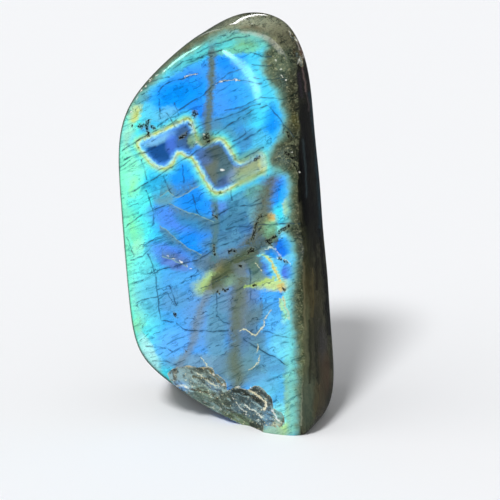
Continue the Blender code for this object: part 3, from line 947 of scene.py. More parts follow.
class Paint:
    """Makes and joins the nodes of a tree, so that its layers read as formulas."""

    def __init__(self, tree):
        self.tree = tree

    def node(self, kind, values=(), output=0, **settings):
        """A node with its settings, its inputs set or joined in order or by name, and its output."""
        made = self.tree.nodes.new(kind)
        for name, value in settings.items():
            setattr(made, name, value)
        pairs = values.items() if isinstance(values, dict) else enumerate(values)
        for place, value in pairs:
            if isinstance(value, bpy.types.NodeSocket):
                self.tree.links.new(value, made.inputs[place])
            else:
                made.inputs[place].default_value = value
        return made.outputs[output]

    def math(self, operation, *values):
        """A number worked out of numbers."""
        return self.node("ShaderNodeMath", values, operation=operation)

    def vector(self, operation, *values, output=0):
        """A vector worked out of vectors, or their dot product as output 1."""
        return self.node("ShaderNodeVectorMath", values, output, operation=operation)

    def value(self, name):
        """One of the numbers that the mesh carries at its vertices."""
        return self.node("ShaderNodeAttribute", output=2, attribute_name=name)

    def fade(self, value, start, end, low=0.0, high=1.0):
        """A smooth step from low, where the value is start, to high, where it is end."""
        if start > end:
            start, end, low, high = end, start, high, low
        values = (value, start, end, low, high)
        return self.node("ShaderNodeMapRange", values, interpolation_type="SMOOTHSTEP")

    def mix(self, amount, under, over, blend="MIX"):
        """The colour over, laid on the colour under by an amount from 0 to 1."""
        values = {0: amount, 6: under, 7: over}
        for place in (6, 7):
            if isinstance(values[place], tuple):
                values[place] = srgb(*values[place])
        return self.node("ShaderNodeMix", values, output=2, data_type="RGBA", blend_type=blend)

    def stain(self, under, over, value, start, end, strength=1.0, blend="MIX"):
        """A colour laid on another: none of it where a value is start, and a strength where it is
        end."""
        return self.mix(self.fade(value, start, end, 0.0, strength), under, over, blend)

    def stains(self, colour, value, rows):
        """Stains laid on a colour one after another, all by the same value."""
        for over, *limits in rows.values():
            colour = self.stain(colour, over, value, *limits)
        return colour

    def shift(self, spot, noise, reach):
        """A spot moved by a noise colour, by up to about a reach each way."""
        centred = self.vector("SUBTRACT", noise, (0.5, 0.5, 0.5))
        scaled = self.vector("MULTIPLY", centred, (2.0 * reach,) * 3)
        return self.vector("ADD", spot, scaled)

    def turned(self, spot, sizes, tilt=0.0):
        """A spot along axes tilted down to the right, in units of two sizes."""
        values = {"Vector": spot, "Rotation": (0.0, 0.0, math.radians(tilt)), "Scale": (*sizes, 1.0)}
        return self.node("ShaderNodeMapping", values, vector_type="TEXTURE")

    def noise(self, spot, size, detail=2.0, roughness=0.5, output=0):
        """Noise with lumps of a size in the spot's units."""
        values = {"Vector": spot, "Scale": 1.0 / size, "Detail": detail, "Roughness": roughness}
        return self.node("ShaderNodeTexNoise", values, output)

    def cells(self, spot, feature="DISTANCE_TO_EDGE", output=0):
        """A cell pattern: by default the distance from the cells' edges, of cells about 1 wide."""
        values = {"Vector": spot, "Scale": 1.0}
        return self.node("ShaderNodeTexVoronoi", values, output, feature=feature)

    def ramp(self, value, stops):
        """A colour that follows a value from 0 to 1 along stops of (place, colour, strength)."""
        made = self.tree.nodes.new("ShaderNodeValToRGB")
        self.tree.links.new(value, made.inputs[0])
        band = made.color_ramp
        while len(band.elements) < len(stops):
            band.elements.new(0.5)
        for element, (place, colour, strength) in zip(band.elements, stops):
            element.position = place
            element.color = (*srgb(*colour)[:3], strength)
        return made.outputs

    def curve(self, value, points):
        """A value from 0 to 1 that follows points joined by straight lines."""
        made = self.tree.nodes.new("ShaderNodeFloatCurve")
        self.tree.links.new(value, made.inputs["Value"])
        mapping = made.mapping
        mapping.extend = "HORIZONTAL"
        mapping.clip_min_x = points[0][0]
        mapping.clip_max_x = points[-1][0]
        line = mapping.curves[0]
        line.points[0].location = points[0]
        line.points[1].location = points[-1]
        for point in points[1:-1]:
            line.points.new(*point)
        for point in line.points:
            point.handle_type = "VECTOR"
        mapping.update()
        return made.outputs[0]

    def layer(self, build, *sockets):
        """What a function makes of some sockets, with its nodes kept in a group of their own."""
        kinds = {"input %d" % number: socket.type for number, socket in enumerate(sockets)}
        return self.use(new_group(build.__name__, kinds, build), sockets)

    def use(self, tree, values):
        """The result of a node group, with its inputs set or joined in order."""
        return self.node("ShaderNodeGroup", values, node_tree=tree)


SOCKET_KINDS = {"VALUE": "NodeSocketFloat", "VECTOR": "NodeSocketVector", "RGBA": "NodeSocketColor"}


def new_group(name, kinds, build):
    """A node group of its inputs' names and kinds, and of what a function makes of them."""
    tree = bpy.data.node_groups.new(name, "ShaderNodeTree")
    for title, kind in kinds.items():
        tree.interface.new_socket(title, in_out="INPUT", socket_type=SOCKET_KINDS[kind])
    start = tree.nodes.new("NodeGroupInput")
    result = build(Paint(tree), *[start.outputs[title] for title in kinds])
    tree.interface.new_socket("result", in_out="OUTPUT", socket_type=SOCKET_KINDS[result.type])
    tree.links.new(result, tree.nodes.new("NodeGroupOutput").inputs[0])
    return tree


def from_oval(paint, spot, centre, first, second):
    """The squared distance of a spot from an oval's centre, in the oval's own radii."""
    place = paint.vector("SUBTRACT", spot, centre)
    along = paint.vector("DOT_PRODUCT", place, first, output=1)
    beside = paint.vector("DOT_PRODUCT", place, second, output=1)
    return paint.math("MULTIPLY_ADD", along, along, paint.math("MULTIPLY", beside, beside))


def patch_nodes(paint, under, spot, centre, first, second, near, far, amount, over):
    """A soft oval patch on a colour: its centre, its two axes as slopes, and where it fades."""
    squared = from_oval(paint, spot, centre, first, second)
    inside = paint.node(
        "ShaderNodeMapRange", (squared, near, far, amount, 0.0), interpolation_type="SMOOTHSTEP"
    )
    return paint.mix(inside, under, over)


def nearer_oval(paint, nearest, spot, centre, first, second):
    """The lesser of a value and the squared distance from an oval's centre."""
    return paint.math("MINIMUM", nearest, from_oval(paint, spot, centre, first, second))


def nearer_line(paint, nearest, beside, line, size):
    """The lesser of a distance and the distance from a line, in the line's half widths."""
    away = paint.math("MULTIPLY", paint.math("SUBTRACT", beside, line), size)
    return paint.math("MINIMUM", nearest, paint.math("ABSOLUTE", away))


PATCH = new_group("patch", {
    "under": "RGBA", "spot": "VECTOR", "centre": "VECTOR", "first axis": "VECTOR",
    "second axis": "VECTOR", "near": "VALUE", "far": "VALUE", "amount": "VALUE", "over": "RGBA",
}, patch_nodes)
NEARER_OVAL = new_group("nearer oval", {
    "nearest": "VALUE", "spot": "VECTOR", "centre": "VECTOR", "first axis": "VECTOR",
    "second axis": "VECTOR",
}, nearer_oval)
NEARER_LINE = new_group("nearer line", {
    "nearest": "VALUE", "beside": "VALUE", "line": "VALUE", "size": "VALUE",
}, nearer_line)


def slopes(centre, radii, tilt):
    """An oval's centre, and its two axes as slopes, of its two radii and the tilt of the first."""
    turn = math.radians(tilt)
    first = (math.cos(turn) / radii[0], math.sin(turn) / radii[0], 0.0)
    second = (-math.sin(turn) / radii[1], math.cos(turn) / radii[1], 0.0)
    return (*centre, 0.0), first, second


class Picture:
    """The photograph's plane as a material reads it: a spot in its pixels, and the spot's two
    parts as shares of the picture's size."""

    def __init__(self, paint, spot):
        self.paint = paint
        self.spot = spot
        small = paint.vector("MULTIPLY", spot, (1.0 / PICTURE_SIZE,) * 3)
        parts = paint.tree.nodes.new("ShaderNodeSeparateXYZ")
        paint.tree.links.new(small, parts.inputs[0])
        self.across = parts.outputs[0]
        self.down = parts.outputs[1]

    def past_edge(self, edge):
        """How far the spot is right of an edge of (y, x) points, as a share of the picture."""
        shares = [(y / PICTURE_SIZE, x / PICTURE_SIZE) for y, x in edge]
        return self.paint.math("SUBTRACT", self.across, self.paint.curve(self.down, shares))

    def line(self, points):
        """The coordinate beside a line, and the line's own: across a steep line, or down a flat
        one. Past its ends the line is far away."""
        points = np.array(points) / PICTURE_SIZE
        run = np.abs(points[-1] - points[0])
        beside, along = self.down, self.across
        if run[0] < run[1]:
            points = points[:, ::-1]
            beside, along = self.across, self.down
        points = points[np.argsort(points[:, 0])].tolist()
        far = 1.0 if points[0][1] < 0.5 else 0.0
        step = LINE_END / PICTURE_SIZE
        before = [(points[0][0] - 2.0 * step, far), (points[0][0] - step, far)]
        after = [(points[-1][0] + step, far), (points[-1][0] + 2.0 * step, far)]
        return beside, self.paint.curve(along, before + points + after)

    def distance(self, lines):
        """The distance to the nearest of some (half width, points) lines, in half widths."""
        nearest = FAR_AWAY
        for half_width, points in lines:
            run = np.abs(np.array(points[-1], dtype=float) - np.array(points[0]))
            slant = math.hypot(*run) / max(run)
            size = PICTURE_SIZE / (half_width * slant)
            nearest = self.paint.use(NEARER_LINE, (nearest, *self.line(points), size))
        return nearest

    def past(self, points):
        """How far the spot is past a line, in pixels: below a flat line, or right of a steep one."""
        apart = self.paint.math("SUBTRACT", *self.line(points))
        return self.paint.math("MULTIPLY", apart, PICTURE_SIZE)

    def lay_patches(self, colour, patches):
        """Soft patches laid on a colour one after another."""
        for over, centre, radii, tilt, softness, amount in patches:
            near, far = (1.0 - softness) ** 2, (1.0 + softness) ** 2
            values = (*slopes(centre, radii, tilt), near, far, amount, srgb(*over))
            colour = self.paint.use(PATCH, (colour, self.spot, *values))
        return colour

    def lay_lines(self, colour, lines, softness=0.5):
        """Lines and bands laid on a colour, each with its own colour, half width and strength."""
        for over, half_width, amount, points in lines:
            away = self.distance([(half_width, points)])
            inside = self.paint.fade(away, 1.0 + softness, 1.0 - softness, 0.0, amount)
            colour = self.paint.mix(inside, colour, over)
        return colour


def rounded(outline):
    """A closed outline with its corners cut off, as worn corners are."""
    points = np.array(outline, dtype=float)
    for _ in range(CORNER_CUTS):
        nexts = np.roll(points, -1, axis=0)
        near = CORNER_CUT * nexts + (1.0 - CORNER_CUT) * points
        far = CORNER_CUT * points + (1.0 - CORNER_CUT) * nexts
        points = np.stack([near, far], axis=1).reshape(-1, 2)
    return points


def from_outline(pixels, outline):
    """The distance of each pixel from a closed outline, below 0 inside it."""
    points = rounded(outline)
    nexts = np.roll(points, -1, axis=0)
    nearest = np.full(len(pixels), np.inf)
    inside = np.zeros(len(pixels), dtype=bool)
    for start, end in zip(points, nexts):
        side = end - start
        from_start = pixels - start
        share = np.clip(from_start @ side / (side @ side), 0.0, 1.0)
        away = np.linalg.norm(from_start - share[:, None] * side, axis=1)
        nearest = np.minimum(nearest, away)
        crosses = (start[1] > pixels[:, 1]) != (end[1] > pixels[:, 1])
        rise = side[1] if side[1] else 1.0
        left = pixels[:, 0] < start[0] + side[0] * (pixels[:, 1] - start[1]) / rise
        inside ^= crosses & left
    return np.where(inside, -nearest, nearest)


def stops_around(reach, rows):
    """A ramp's stops, from a reach inside an outline to the same reach outside it."""
    return [((place + reach) / (2.0 * reach), colour, amount) for place, colour, amount in rows]


def flash_colours(paint, spot):
    """The flash's own colours: from the left edge to the middle, and then its patches."""
    picture = Picture(paint, spot)
    share = paint.math("MULTIPLY", picture.past_edge(LEFT_EDGE), PICTURE_SIZE / LEFT_EDGE_REACH)
    stops = [(place / LEFT_EDGE_REACH, colour, 1.0) for place, colour in LEFT_EDGE_COLOURS]
    return picture.lay_patches(paint.ramp(share, stops)[0], FLASH_PATCHES.values())


def cell_tones(paint, spot, colour):
    """The slight differences between the slanted slats that the cleavage cuts the flash into."""
    slats = paint.turned(spot, (30.0, 11.0), -27)
    tone = paint.node("ShaderNodeSeparateColor", (paint.cells(slats, "F1", output=1),))
    return paint.stains(colour, tone, CELL_STAINS)


def hairline(paint, flat, spacing, tilt, half_width, length):
    """Thin straight lines a spacing apart, in pieces of about a length: 1 on a line, 0 off it."""
    beside = paint.node("ShaderNodeSeparateXYZ", (paint.turned(flat, (1.0, spacing), tilt),), output=1)
    wander = paint.noise(paint.turned(flat, (50.0, 16.0), tilt), 1.0, 2.0)
    level = paint.math("MULTIPLY_ADD", wander, HAIRLINE_WANDER, beside)
    away = paint.math("PINGPONG", level, 0.5)
    width = half_width / spacing
    pieces = paint.noise(paint.turned(flat, (length, 0.7 * spacing), tilt), 1.0, 1.0)
    return paint.math("MULTIPLY", paint.fade(away, width, 0.3 * width), paint.fade(pieces, 0.52, 0.62))


def hairlines(paint, flat, colour):
    """Cleavage lines, hair cracks and dusty specks, over the whole show face."""
    gaps = paint.fade(paint.noise(flat, 18.0, 1.0), 0.36, 0.56, 0.25, 1.0)
    wide = paint.noise(paint.turned(flat, (34.0, 3.2), -25), 1.0, 2.0, 0.6)
    colour = paint.stains(colour, wide, GRAIN_STAINS)
    for spacing, tilt, half_width, length, strength in HAIRLINES:
        lines = paint.math("MULTIPLY", hairline(paint, flat, spacing, tilt, half_width, length), gaps)
        lines = paint.math("MULTIPLY", lines, strength)
        colour = paint.mix(lines, colour, HAIRLINE_SHADE, "MULTIPLY")
    bright = paint.math("MULTIPLY", hairline(paint, flat, 11.0, -22, 0.5, 24.0), gaps)
    colour = paint.mix(paint.math("MULTIPLY", bright, 0.5), colour, BRIGHT_HAIRLINE, "DODGE")
    dust = paint.noise(flat, 1.4, 2.0, 0.7)
    return paint.stains(colour, dust, DUST_STAINS)


def clouds(paint, spot, colour):
    """The cloudy grey and olive bands in the flash."""
    picture = Picture(paint, spot)
    clouded = picture.lay_lines(colour, CLOUDS, 0.9)
    dirty = paint.noise(spot, 3.4, 4.0, 0.7)
    stained = paint.stain(clouded, CLOUD_DIRT, dirty, 0.52, 0.7, 0.6)
    worn = paint.mix(paint.fade(dirty, 0.3, 0.46, 0.65, 1.0), colour, stained)
    apart = paint.node("ShaderNodeRGBToBW", (paint.mix(1.0, clouded, colour, "DIFFERENCE"),))
    clouded = paint.stain(clouded, worn, apart, 0.03, 0.16)
    return picture.lay_lines(clouded, GOLD_LINES, 0.6)


def feathers(paint, spot, colour):
    """Feather-like fractures: a bright line, a painted highlight, with a grey-green painted shadow
    on one side of it.
    """
    picture = Picture(paint, spot)
    uneven = paint.fade(paint.noise(spot, 2.6, 3.0), 0.3, 0.7, 0.55, 1.0)
    for reach, amount, points in FEATHERS:
        past = picture.past(points)
        if reach < 0.0:
            past = paint.math("MULTIPLY", past, -1.0)
        # A painted shadow on one side of the fracture's line.
        shade = paint.fade(past, abs(reach), 0.0, 0.0, amount)
        shade = paint.math("MULTIPLY", shade, paint.fade(past, -0.8, 0.4))
        colour = paint.mix(paint.math("MULTIPLY", shade, uneven), colour, FEATHER_PAINTED_SHADOW)
        # The fracture's bright line, a painted highlight.
        line = paint.fade(paint.math("ABSOLUTE", past), 1.0, 0.2, 0.0, 0.55)
        colour = paint.mix(line, colour, FEATHER_PAINTED_HIGHLIGHT)
    return colour


def islands(paint, spot, colour):
    """The yellow-rimmed island: what is inside it, and then its rim."""
    picture = Picture(paint, spot)
    rough = paint.math("MULTIPLY_ADD", paint.noise(spot, 3.5, 3.0), 4.0, -2.0)
    island = paint.math("ADD", paint.value("island"), rough)
    share = paint.math("MULTIPLY_ADD", island, 0.5 / ISLAND_RIM_REACH, 0.5)
    within = picture.lay_patches(colour, ISLAND_PATCHES.values())
    colour = paint.stain(colour, within, island, -1.0, -4.0)
    rim = paint.ramp(share, stops_around(ISLAND_RIM_REACH, ISLAND_RIM_COLOURS))
    uneven = paint.fade(paint.noise(spot, 7.0), 0.25, 0.6, 0.6, 1.0)
    colour = paint.mix(paint.math("MULTIPLY", rim[1], uneven), colour, rim[0])
    return picture.lay_patches(colour, RIM_PATCHES.values())


def quiet_stone(paint, place):
    """The quiet grey-olive stone, on every side, from its place in millimetres."""
    coarse = paint.noise(place, 9.0, 4.0, 0.6)
    fine = paint.noise(place, 1.6, 5.0, 0.65)
    colour = paint.stain(*QUIET_COLOURS, coarse, 0.35, 0.68)
    colour = paint.stains(colour, fine, QUIET_STAINS)
    return paint.stain(colour, RUST, paint.noise(place, 6.0, 3.0), 0.6, 0.74, 0.5)


def far_sides(paint, place, quiet):
    """The sides that face away: quiet stone with a dull flash, slats, veins and dark cracks."""
    shore = paint.noise(place, 26.0, 4.0, 0.55)
    colour = paint.stains(quiet, shore, SHORE_STAINS)
    slats = paint.vector("MULTIPLY", place, (0.08, 0.08, 0.34))
    tone = paint.node("ShaderNodeSeparateColor", (paint.cells(slats, "F1", output=1),))
    colour = paint.stain(colour, SLAT_SHADE, tone, 0.5, 1.0, 0.6, "MULTIPLY")
    streaks = paint.noise(paint.vector("MULTIPLY", place, (0.7, 0.7, 0.05)), 1.0, 3.0, 0.6)
    colour = paint.stain(colour, DARK_STREAKS, streaks, 0.56, 0.7, 0.7)
    shown = paint.fade(paint.noise(place, 12.0, 3.0), 0.46, 0.6, 0.0, 0.75)
    for scale in ((0.03, 0.03, 0.11), (0.1, 0.1, 0.035)):
        edge = paint.cells(paint.vector("MULTIPLY", place, scale))
        crack = paint.math("MULTIPLY", paint.fade(edge, 0.022, 0.004), shown)
        colour = paint.mix(crack, colour, FAR_CRACK)
    return colour


def quiet_bands(paint, spot, quiet):
    """The quiet stone that borders the flash on the show face."""
    band = Picture(paint, spot).lay_patches(quiet, BAND_PATCHES.values())
    band = paint.mix(0.2, band, quiet)
    mottle = paint.noise(spot, 7.0, 4.0, 0.65)
    band = paint.stains(band, mottle, MOTTLE_STAINS)
    return paint.stains(band, paint.noise(spot, 1.8, 3.0, 0.6), GRIT_STAINS)


def crack_distance(paint, spot):
    """The distance from the nearest dark crack, in its half widths."""
    return Picture(paint, spot).distance(CRACKS)


def black_distance(paint, spot):
    """The distance from the nearest black stroke, in its half widths."""
    return Picture(paint, spot).distance(BLACK_SPOTS)


def cream_distance(paint, spot):
    """The distance from the nearest cream hairline, in its half widths."""
    return Picture(paint, spot).distance(CREAM_LINES)


def side_colours(paint, spot, quiet):
    """The right side, as it shows edge on: its black partly a painted dark reflection, with painted
    reflections and painted highlights among its streaks.
    """
    picture = Picture(paint, spot)
    streaks = paint.noise(paint.turned(spot, (2.6, 44.0), -3), 1.0, 3.0, 0.6)
    colour = paint.stain(*SIDE_COLOURS, streaks, 0.36, 0.66)
    blots = paint.noise(paint.turned(spot, (4.0, 9.0), -3), 1.0, 4.0, 0.65)
    colour = paint.stain(colour, SIDE_BLOTS, blots, 0.54, 0.66, 0.75)
    colour = paint.mix(0.25, colour, quiet)
    # The patches and lines hold a painted dark reflection, painted reflections and painted highlights.
    grain = paint.mix(0.85, colour, picture.lay_patches(colour, SIDE_PATCHES.values()))
    return picture.lay_lines(grain, SIDE_STREAKS_AND_PAINTED_REFLECTIONS, SIDE_LINE_SOFTNESS)


def past_side_edge(paint, spot):
    """How much a spot is on the right side, from 0 to 1."""
    softness = SIDE_EDGE_SOFTNESS / PICTURE_SIZE
    return paint.fade(Picture(paint, spot).past_edge(SIDE_EDGE), -softness, softness)


def break_colours(paint, spot, ragged, quiet):
    """The broken edge's own colours, and bright lines along its ridges and specks, which are
    painted highlights.
    """
    hollow = Picture(paint, spot).lay_patches(quiet, BREAK_PATCHES.values())
    smoke = paint.noise(spot, 5.0, 4.0, 0.65)
    hollow = paint.stains(hollow, smoke, SMOKE_STAINS)
    glassy = paint.noise(paint.turned(ragged, (9.0, 2.0), 22), 1.0, 3.0, 0.6)
    hollow = paint.stain(hollow, GLASSY_STREAKS, glassy, 0.56, 0.7, 0.55)
    steps = paint.noise(paint.turned(spot, (14.0, 3.4), 26), 1.0, 4.0, 0.6)
    hollow = paint.stains(hollow, steps, STEP_STAINS)
    # Lines along the ridges: the bright ones are painted highlights.
    hollow = Picture(paint, ragged).lay_lines(hollow, BREAK_LINES_AND_HIGHLIGHTS)
    # Painted glints: noise specks laid as painted highlights.
    glints = paint.noise(spot, 1.5, 2.0, 0.6)
    return paint.stain(hollow, PAINTED_BREAK_GLINTS, glints, 0.62, 0.68, 0.9)


def painted_glint_distance(paint, spot):
    """The squared distance from the nearest painted glint, in its own radii."""
    nearest = FAR_AWAY
    for x, y, half_length, tilt in PAINTED_GLINTS:
        values = slopes((x, y), (half_length, PAINTED_GLINT_HALF_WIDTH), tilt)
        nearest = paint.use(NEARER_OVAL, (nearest, spot, *values))
    return nearest


def lay_flash(paint, flat, band, flash):
    """The flash laid on the quiet stone around it, with the fringe along its ragged outline."""
    rough_edge = paint.math("MULTIPLY_ADD", paint.noise(flat, 11.0, 4.0, 0.55), 10.0, -5.0)
    outline = paint.math("ADD", paint.value("flash"), rough_edge)
    colour = paint.stain(band, flash, outline, *FLASH_EDGE)
    share = paint.math("MULTIPLY_ADD", outline, 0.5 / FLASH_FRINGE_REACH, 0.5)
    fringe = paint.ramp(share, stops_around(FLASH_FRINGE_REACH, FLASH_FRINGE_COLOURS))
    return paint.mix(fringe[1], colour, fringe[0])


def lay_cracks(paint, flat, spot, colour):
    """The dark cracks laid on a colour, with a fainter shade beside them, and where they are."""
    away = paint.layer(crack_distance, spot)
    shown = paint.fade(paint.noise(flat, 7.0, 3.0), 0.32, 0.62, 0.2, 0.95)
    crack = paint.math("MULTIPLY", paint.fade(away, 1.5, 0.3), shown)
    shoulder = paint.math("MULTIPLY", paint.fade(away, 5.0, 1.0, 0.0, 0.4), shown)
    colour = paint.mix(shoulder, colour, CRACK_SHADE, "MULTIPLY")
    return paint.mix(crack, colour, CRACK), crack


def lay_strokes(paint, flat, ragged, colour):
    """The black strokes and the cream hairlines laid on a colour, each with a halo."""
    away = paint.layer(black_distance, ragged)
    patchy = paint.fade(paint.noise(flat, 1.8, 3.0, 0.6), 0.4, 0.52, 0.25, 1.0)
    colour = paint.stain(colour, BLACK_HALO, away, 2.6, 1.4, 0.35)
    colour = paint.mix(paint.math("MULTIPLY", paint.fade(away, 1.9, 0.7), patchy), colour, BLACK)
    away = paint.layer(cream_distance, ragged)
    colour = paint.stain(colour, CREAM_HALO, away, 2.4, 1.0, 0.45)
    cream = paint.math("MULTIPLY", paint.fade(away, 1.3, 0.6), patchy)
    return paint.mix(cream, colour, CREAM)


def lay_rim_and_painted_reflection(paint, colour):
    """The dull rim at the left, where the polish turns away from the eye, laid on a colour. It is
    partly the quiet stone where the flash gives way, and partly a painted dark reflection.
    """
    # Partly a painted dark reflection where the polish turns away from the eye.
    rim = paint.fade(paint.value("seen"), 0.62, 0.3, 0.0, 0.85)
    rim = paint.math("MULTIPLY", rim, paint.fade(paint.value("across"), 240.0, 200.0))
    return paint.mix(rim, colour, DULL_RIM_AND_PAINTED_REFLECTION)


def lay_break(paint, flat, spot, ragged, quiet, colour):
    """The broken edge and a painted highlight along its lip laid on a colour, and where the stone
    is broken.
    """
    broken = paint.value("broken")
    in_break = paint.fade(broken, -0.05, 0.12)
    colour = paint.mix(in_break, colour, paint.layer(break_colours, spot, ragged, quiet))
    # A painted highlight along the break's lip, broken up by noise.
    lip = paint.fade(paint.math("ABSOLUTE", broken), 0.16, 0.04)
    worn = paint.fade(paint.noise(flat, 3.0, 2.0), 0.42, 0.6, 0.0, 0.85)
    return paint.mix(paint.math("MULTIPLY", lip, worn), colour, PAINTED_LIP_HIGHLIGHT), in_break


def lay_on_far_sides(paint, place, quiet, in_break, colour):
    """What the photograph shows laid on the sides that it doesn't show."""
    behind = paint.node("ShaderNodeSeparateXYZ", (place,), output=1)
    in_front_break = paint.math("MULTIPLY", in_break, paint.fade(behind, *BREAK_COLOURS_END))
    seen = paint.math("MAXIMUM", paint.fade(paint.value("seen"), -0.06, 0.03), in_front_break)
    return paint.mix(seen, paint.layer(far_sides, place, quiet), colour)


def polish_roughness(paint, place, crack, in_break):
    """How rough the polish is: slightly uneven, and rougher in the cracks and the breaks."""
    rough = paint.fade(paint.noise(place, 5.0), 0.3, 0.7, *POLISH_ROUGHNESS)
    rough = paint.math("MAXIMUM", rough, paint.math("MULTIPLY", crack, CRACK_ROUGHNESS))
    return paint.math("MAXIMUM", rough, paint.math("MULTIPLY", in_break, BREAK_ROUGHNESS))


def stone_looks(paint):
    """The stone's colour and roughness, on every side."""
    flat = paint.node("ShaderNodeCombineXYZ", (paint.value("across"), paint.value("down")))
    coarse = paint.noise(flat, 16.0, 2.0, 0.5, output=1)
    fine = paint.noise(flat, 3.2, 3.0, 0.6, output=1)
    spot = paint.shift(paint.shift(flat, coarse, SPOT_WANDER[0]), fine, SPOT_WANDER[1])
    soft = paint.shift(paint.shift(flat, coarse, SOFT_WANDER[0]), fine, SOFT_WANDER[1])
    smooth = paint.shift(flat, coarse, SPOT_WANDER[0])
    ragged = paint.shift(flat, paint.noise(flat, 2.4, 3.0, 0.7, output=1), RAGGED_WANDER)
    metres = paint.node("ShaderNodeTexCoord", output=3)
    place = paint.vector("MULTIPLY", metres, (1.0 / METRES_PER_MM,) * 3)

    quiet = paint.layer(quiet_stone, place)
    flash = paint.layer(flash_colours, soft)
    flash = paint.layer(cell_tones, spot, flash)
    flash = paint.layer(clouds, soft, flash)
    flash = paint.layer(feathers, spot, flash)
    flash = paint.layer(islands, spot, flash)

    # The layers from here on read spots that are moved a little once more. These are worked out
    # after the flash, so that the material doesn't hold all its layers at once.
    again = paint.noise(spot, 5.0, output=1)
    spot, soft, ragged = [paint.shift(moved, again, LATE_WANDER) for moved in (spot, soft, ragged)]
    colour = lay_flash(paint, flat, paint.layer(quiet_bands, soft, quiet), flash)
    colour = paint.layer(hairlines, smooth, colour)
    colour, crack = lay_cracks(paint, flat, spot, colour)
    colour = lay_strokes(paint, flat, ragged, colour)
    colour = lay_rim_and_painted_reflection(paint, colour)
    side = paint.layer(side_colours, spot, quiet)
    colour = paint.mix(paint.layer(past_side_edge, spot), colour, side)
    colour, in_break = lay_break(paint, flat, spot, ragged, quiet, colour)
    # Painted glints: small painted highlights laid on the stone.
    glint = paint.layer(painted_glint_distance, ragged)
    colour = paint.stain(colour, PAINTED_GLINT_COLOUR, glint, 1.6, 0.4, 0.8)
    colour = lay_on_far_sides(paint, place, quiet, in_break, colour)
    return colour, polish_roughness(paint, place, crack, in_break)


def labradorite_material():
    """Polished labradorite: the painted show face, the quiet sides and the broken edge."""
    material, tree = new_material("labradorite")
    shader = tree.nodes["Principled BSDF"]
    colour, rough = stone_looks(Paint(tree))
    tree.links.new(colour, shader.inputs["Base Color"])
    tree.links.new(rough, shader.inputs["Roughness"])
    shader.inputs["IOR"].default_value = STONE_IOR
    return material


# The studio: a pale floor under a soft sky, a main lamp and a fill, and bright cards that only
# the polish mirrors.
FLOOR_REACH = 6.0
FLOOR_COLOUR = (0.895, 0.905, 0.925, 1.0)
MIRRORED_FLOOR = (0.045, 0.046, 0.05, 1.0)
BACKDROP_COLOUR = srgb(246, 247, 249)
SKY_COLOUR = (1.0, 1.0, 1.0, 1.0)
SKY_STRENGTH = 0.36
MIRRORED_SKY = (0.02, 0.022, 0.026, 1.0)

# The lamps: azimuth, elevation, strength, and how wide each looks, in degrees. The main lamp
# throws the shadow to the back, and the fill comes from the front left.
LAMPS = {
    "main": (-8.0, 50.0, 2.28, 12.0),
    "fill": (-52.0, 42.0, 0.5, 60.0),
}

# Highlights of the polish, as strips in the photograph: points down the middle of each, its half
# width there in pixels, how far off its card stands in millimetres, and how bright the card is.
HIGHLIGHTS = {
    "shoulder streak": (
        ((172, 65, 0.5), (178, 60, 1.4), (185, 55, 1.5), (192, 51, 1.2), (199, 47, 0.4)), 120.0, 16.0,
    ),
    "long streak": (
        ((227, 52, 1.0), (238, 55, 3.8), (248, 62, 5.0), (254, 74, 5.0), (257, 87, 4.6), (257, 99, 2.6)),
        200.0, 19.0,
    ),
}
STREAK_TINT = (0.46, 1.0, 0.85)
SOFTBOX_TINT = (1.0, 1.0, 1.0)
CARD_ROWS = ((-1.0, 0.0), (-0.6, 1.0), (0.6, 1.0), (1.0, 0.0))  # place across a card, and its glow there

# Softboxes around the stone, which its polish mirrors: azimuth, elevation, distance, width and
# height in millimetres, and brightness. The first makes the thin arc on the crown, the second
# the pale window below it, and the others are for the other sides.
SOFTBOXES = {
    "crown arc": (193, 22.3, 420, 90, 7, 12.0),
    "crown window": (60, 65, 420, 440, 440, 2.8),
    "back left": (226, 44, 420, 60, 150, 3.0),
    "right": (100, 40, 420, 60, 200, 4.0),
    "left": (262, 16, 420, 40, 200, 2.0),
}

# How the point of the stone behind a pixel is looked for along its ray: from how far before the
# stone's distance to how far past it, in millimetres, and in how many steps.
RAY_REACH = 90.0
RAY_STEPS = 3601
NORMAL_STEP = 0.01  # radians between the directions that give the surface's slope

SENSOR_WIDTH = 36.0
CAMERA_CLIP = (0.01, 50.0)  # metres


def glossy_only(paint, shader_for_all, shader_for_gloss):
    """Two shaders joined so that only mirrored light sees the second, and the light's path."""
    path = paint.tree.nodes.new("ShaderNodeLightPath")
    values = (path.outputs["Is Glossy Ray"], shader_for_all, shader_for_gloss)
    return paint.node("ShaderNodeMixShader", values), path


def make_floor():
    """The floor, which isn't part of the object."""
    mesh = bmesh.new()
    bmesh.ops.create_grid(mesh, x_segments=1, y_segments=1, size=FLOOR_REACH)
    data = bpy.data.meshes.new("floor")
    mesh.to_mesh(data)
    mesh.free()
    material, tree = new_material("floor")
    paint = Paint(tree)
    shader = tree.nodes["Principled BSDF"]
    shader.inputs["Base Color"].default_value = FLOOR_COLOUR
    shader.inputs["Roughness"].default_value = 1.0
    shader.inputs["Specular IOR Level"].default_value = 0.0
    mirrored = paint.node("ShaderNodeEmission", {"Color": MIRRORED_FLOOR})
    both = glossy_only(paint, shader.outputs[0], mirrored)[0]
    tree.links.new(both, tree.nodes["Material Output"].inputs["Surface"])
    data.materials.append(material)
    floor = new_object("floor", data)


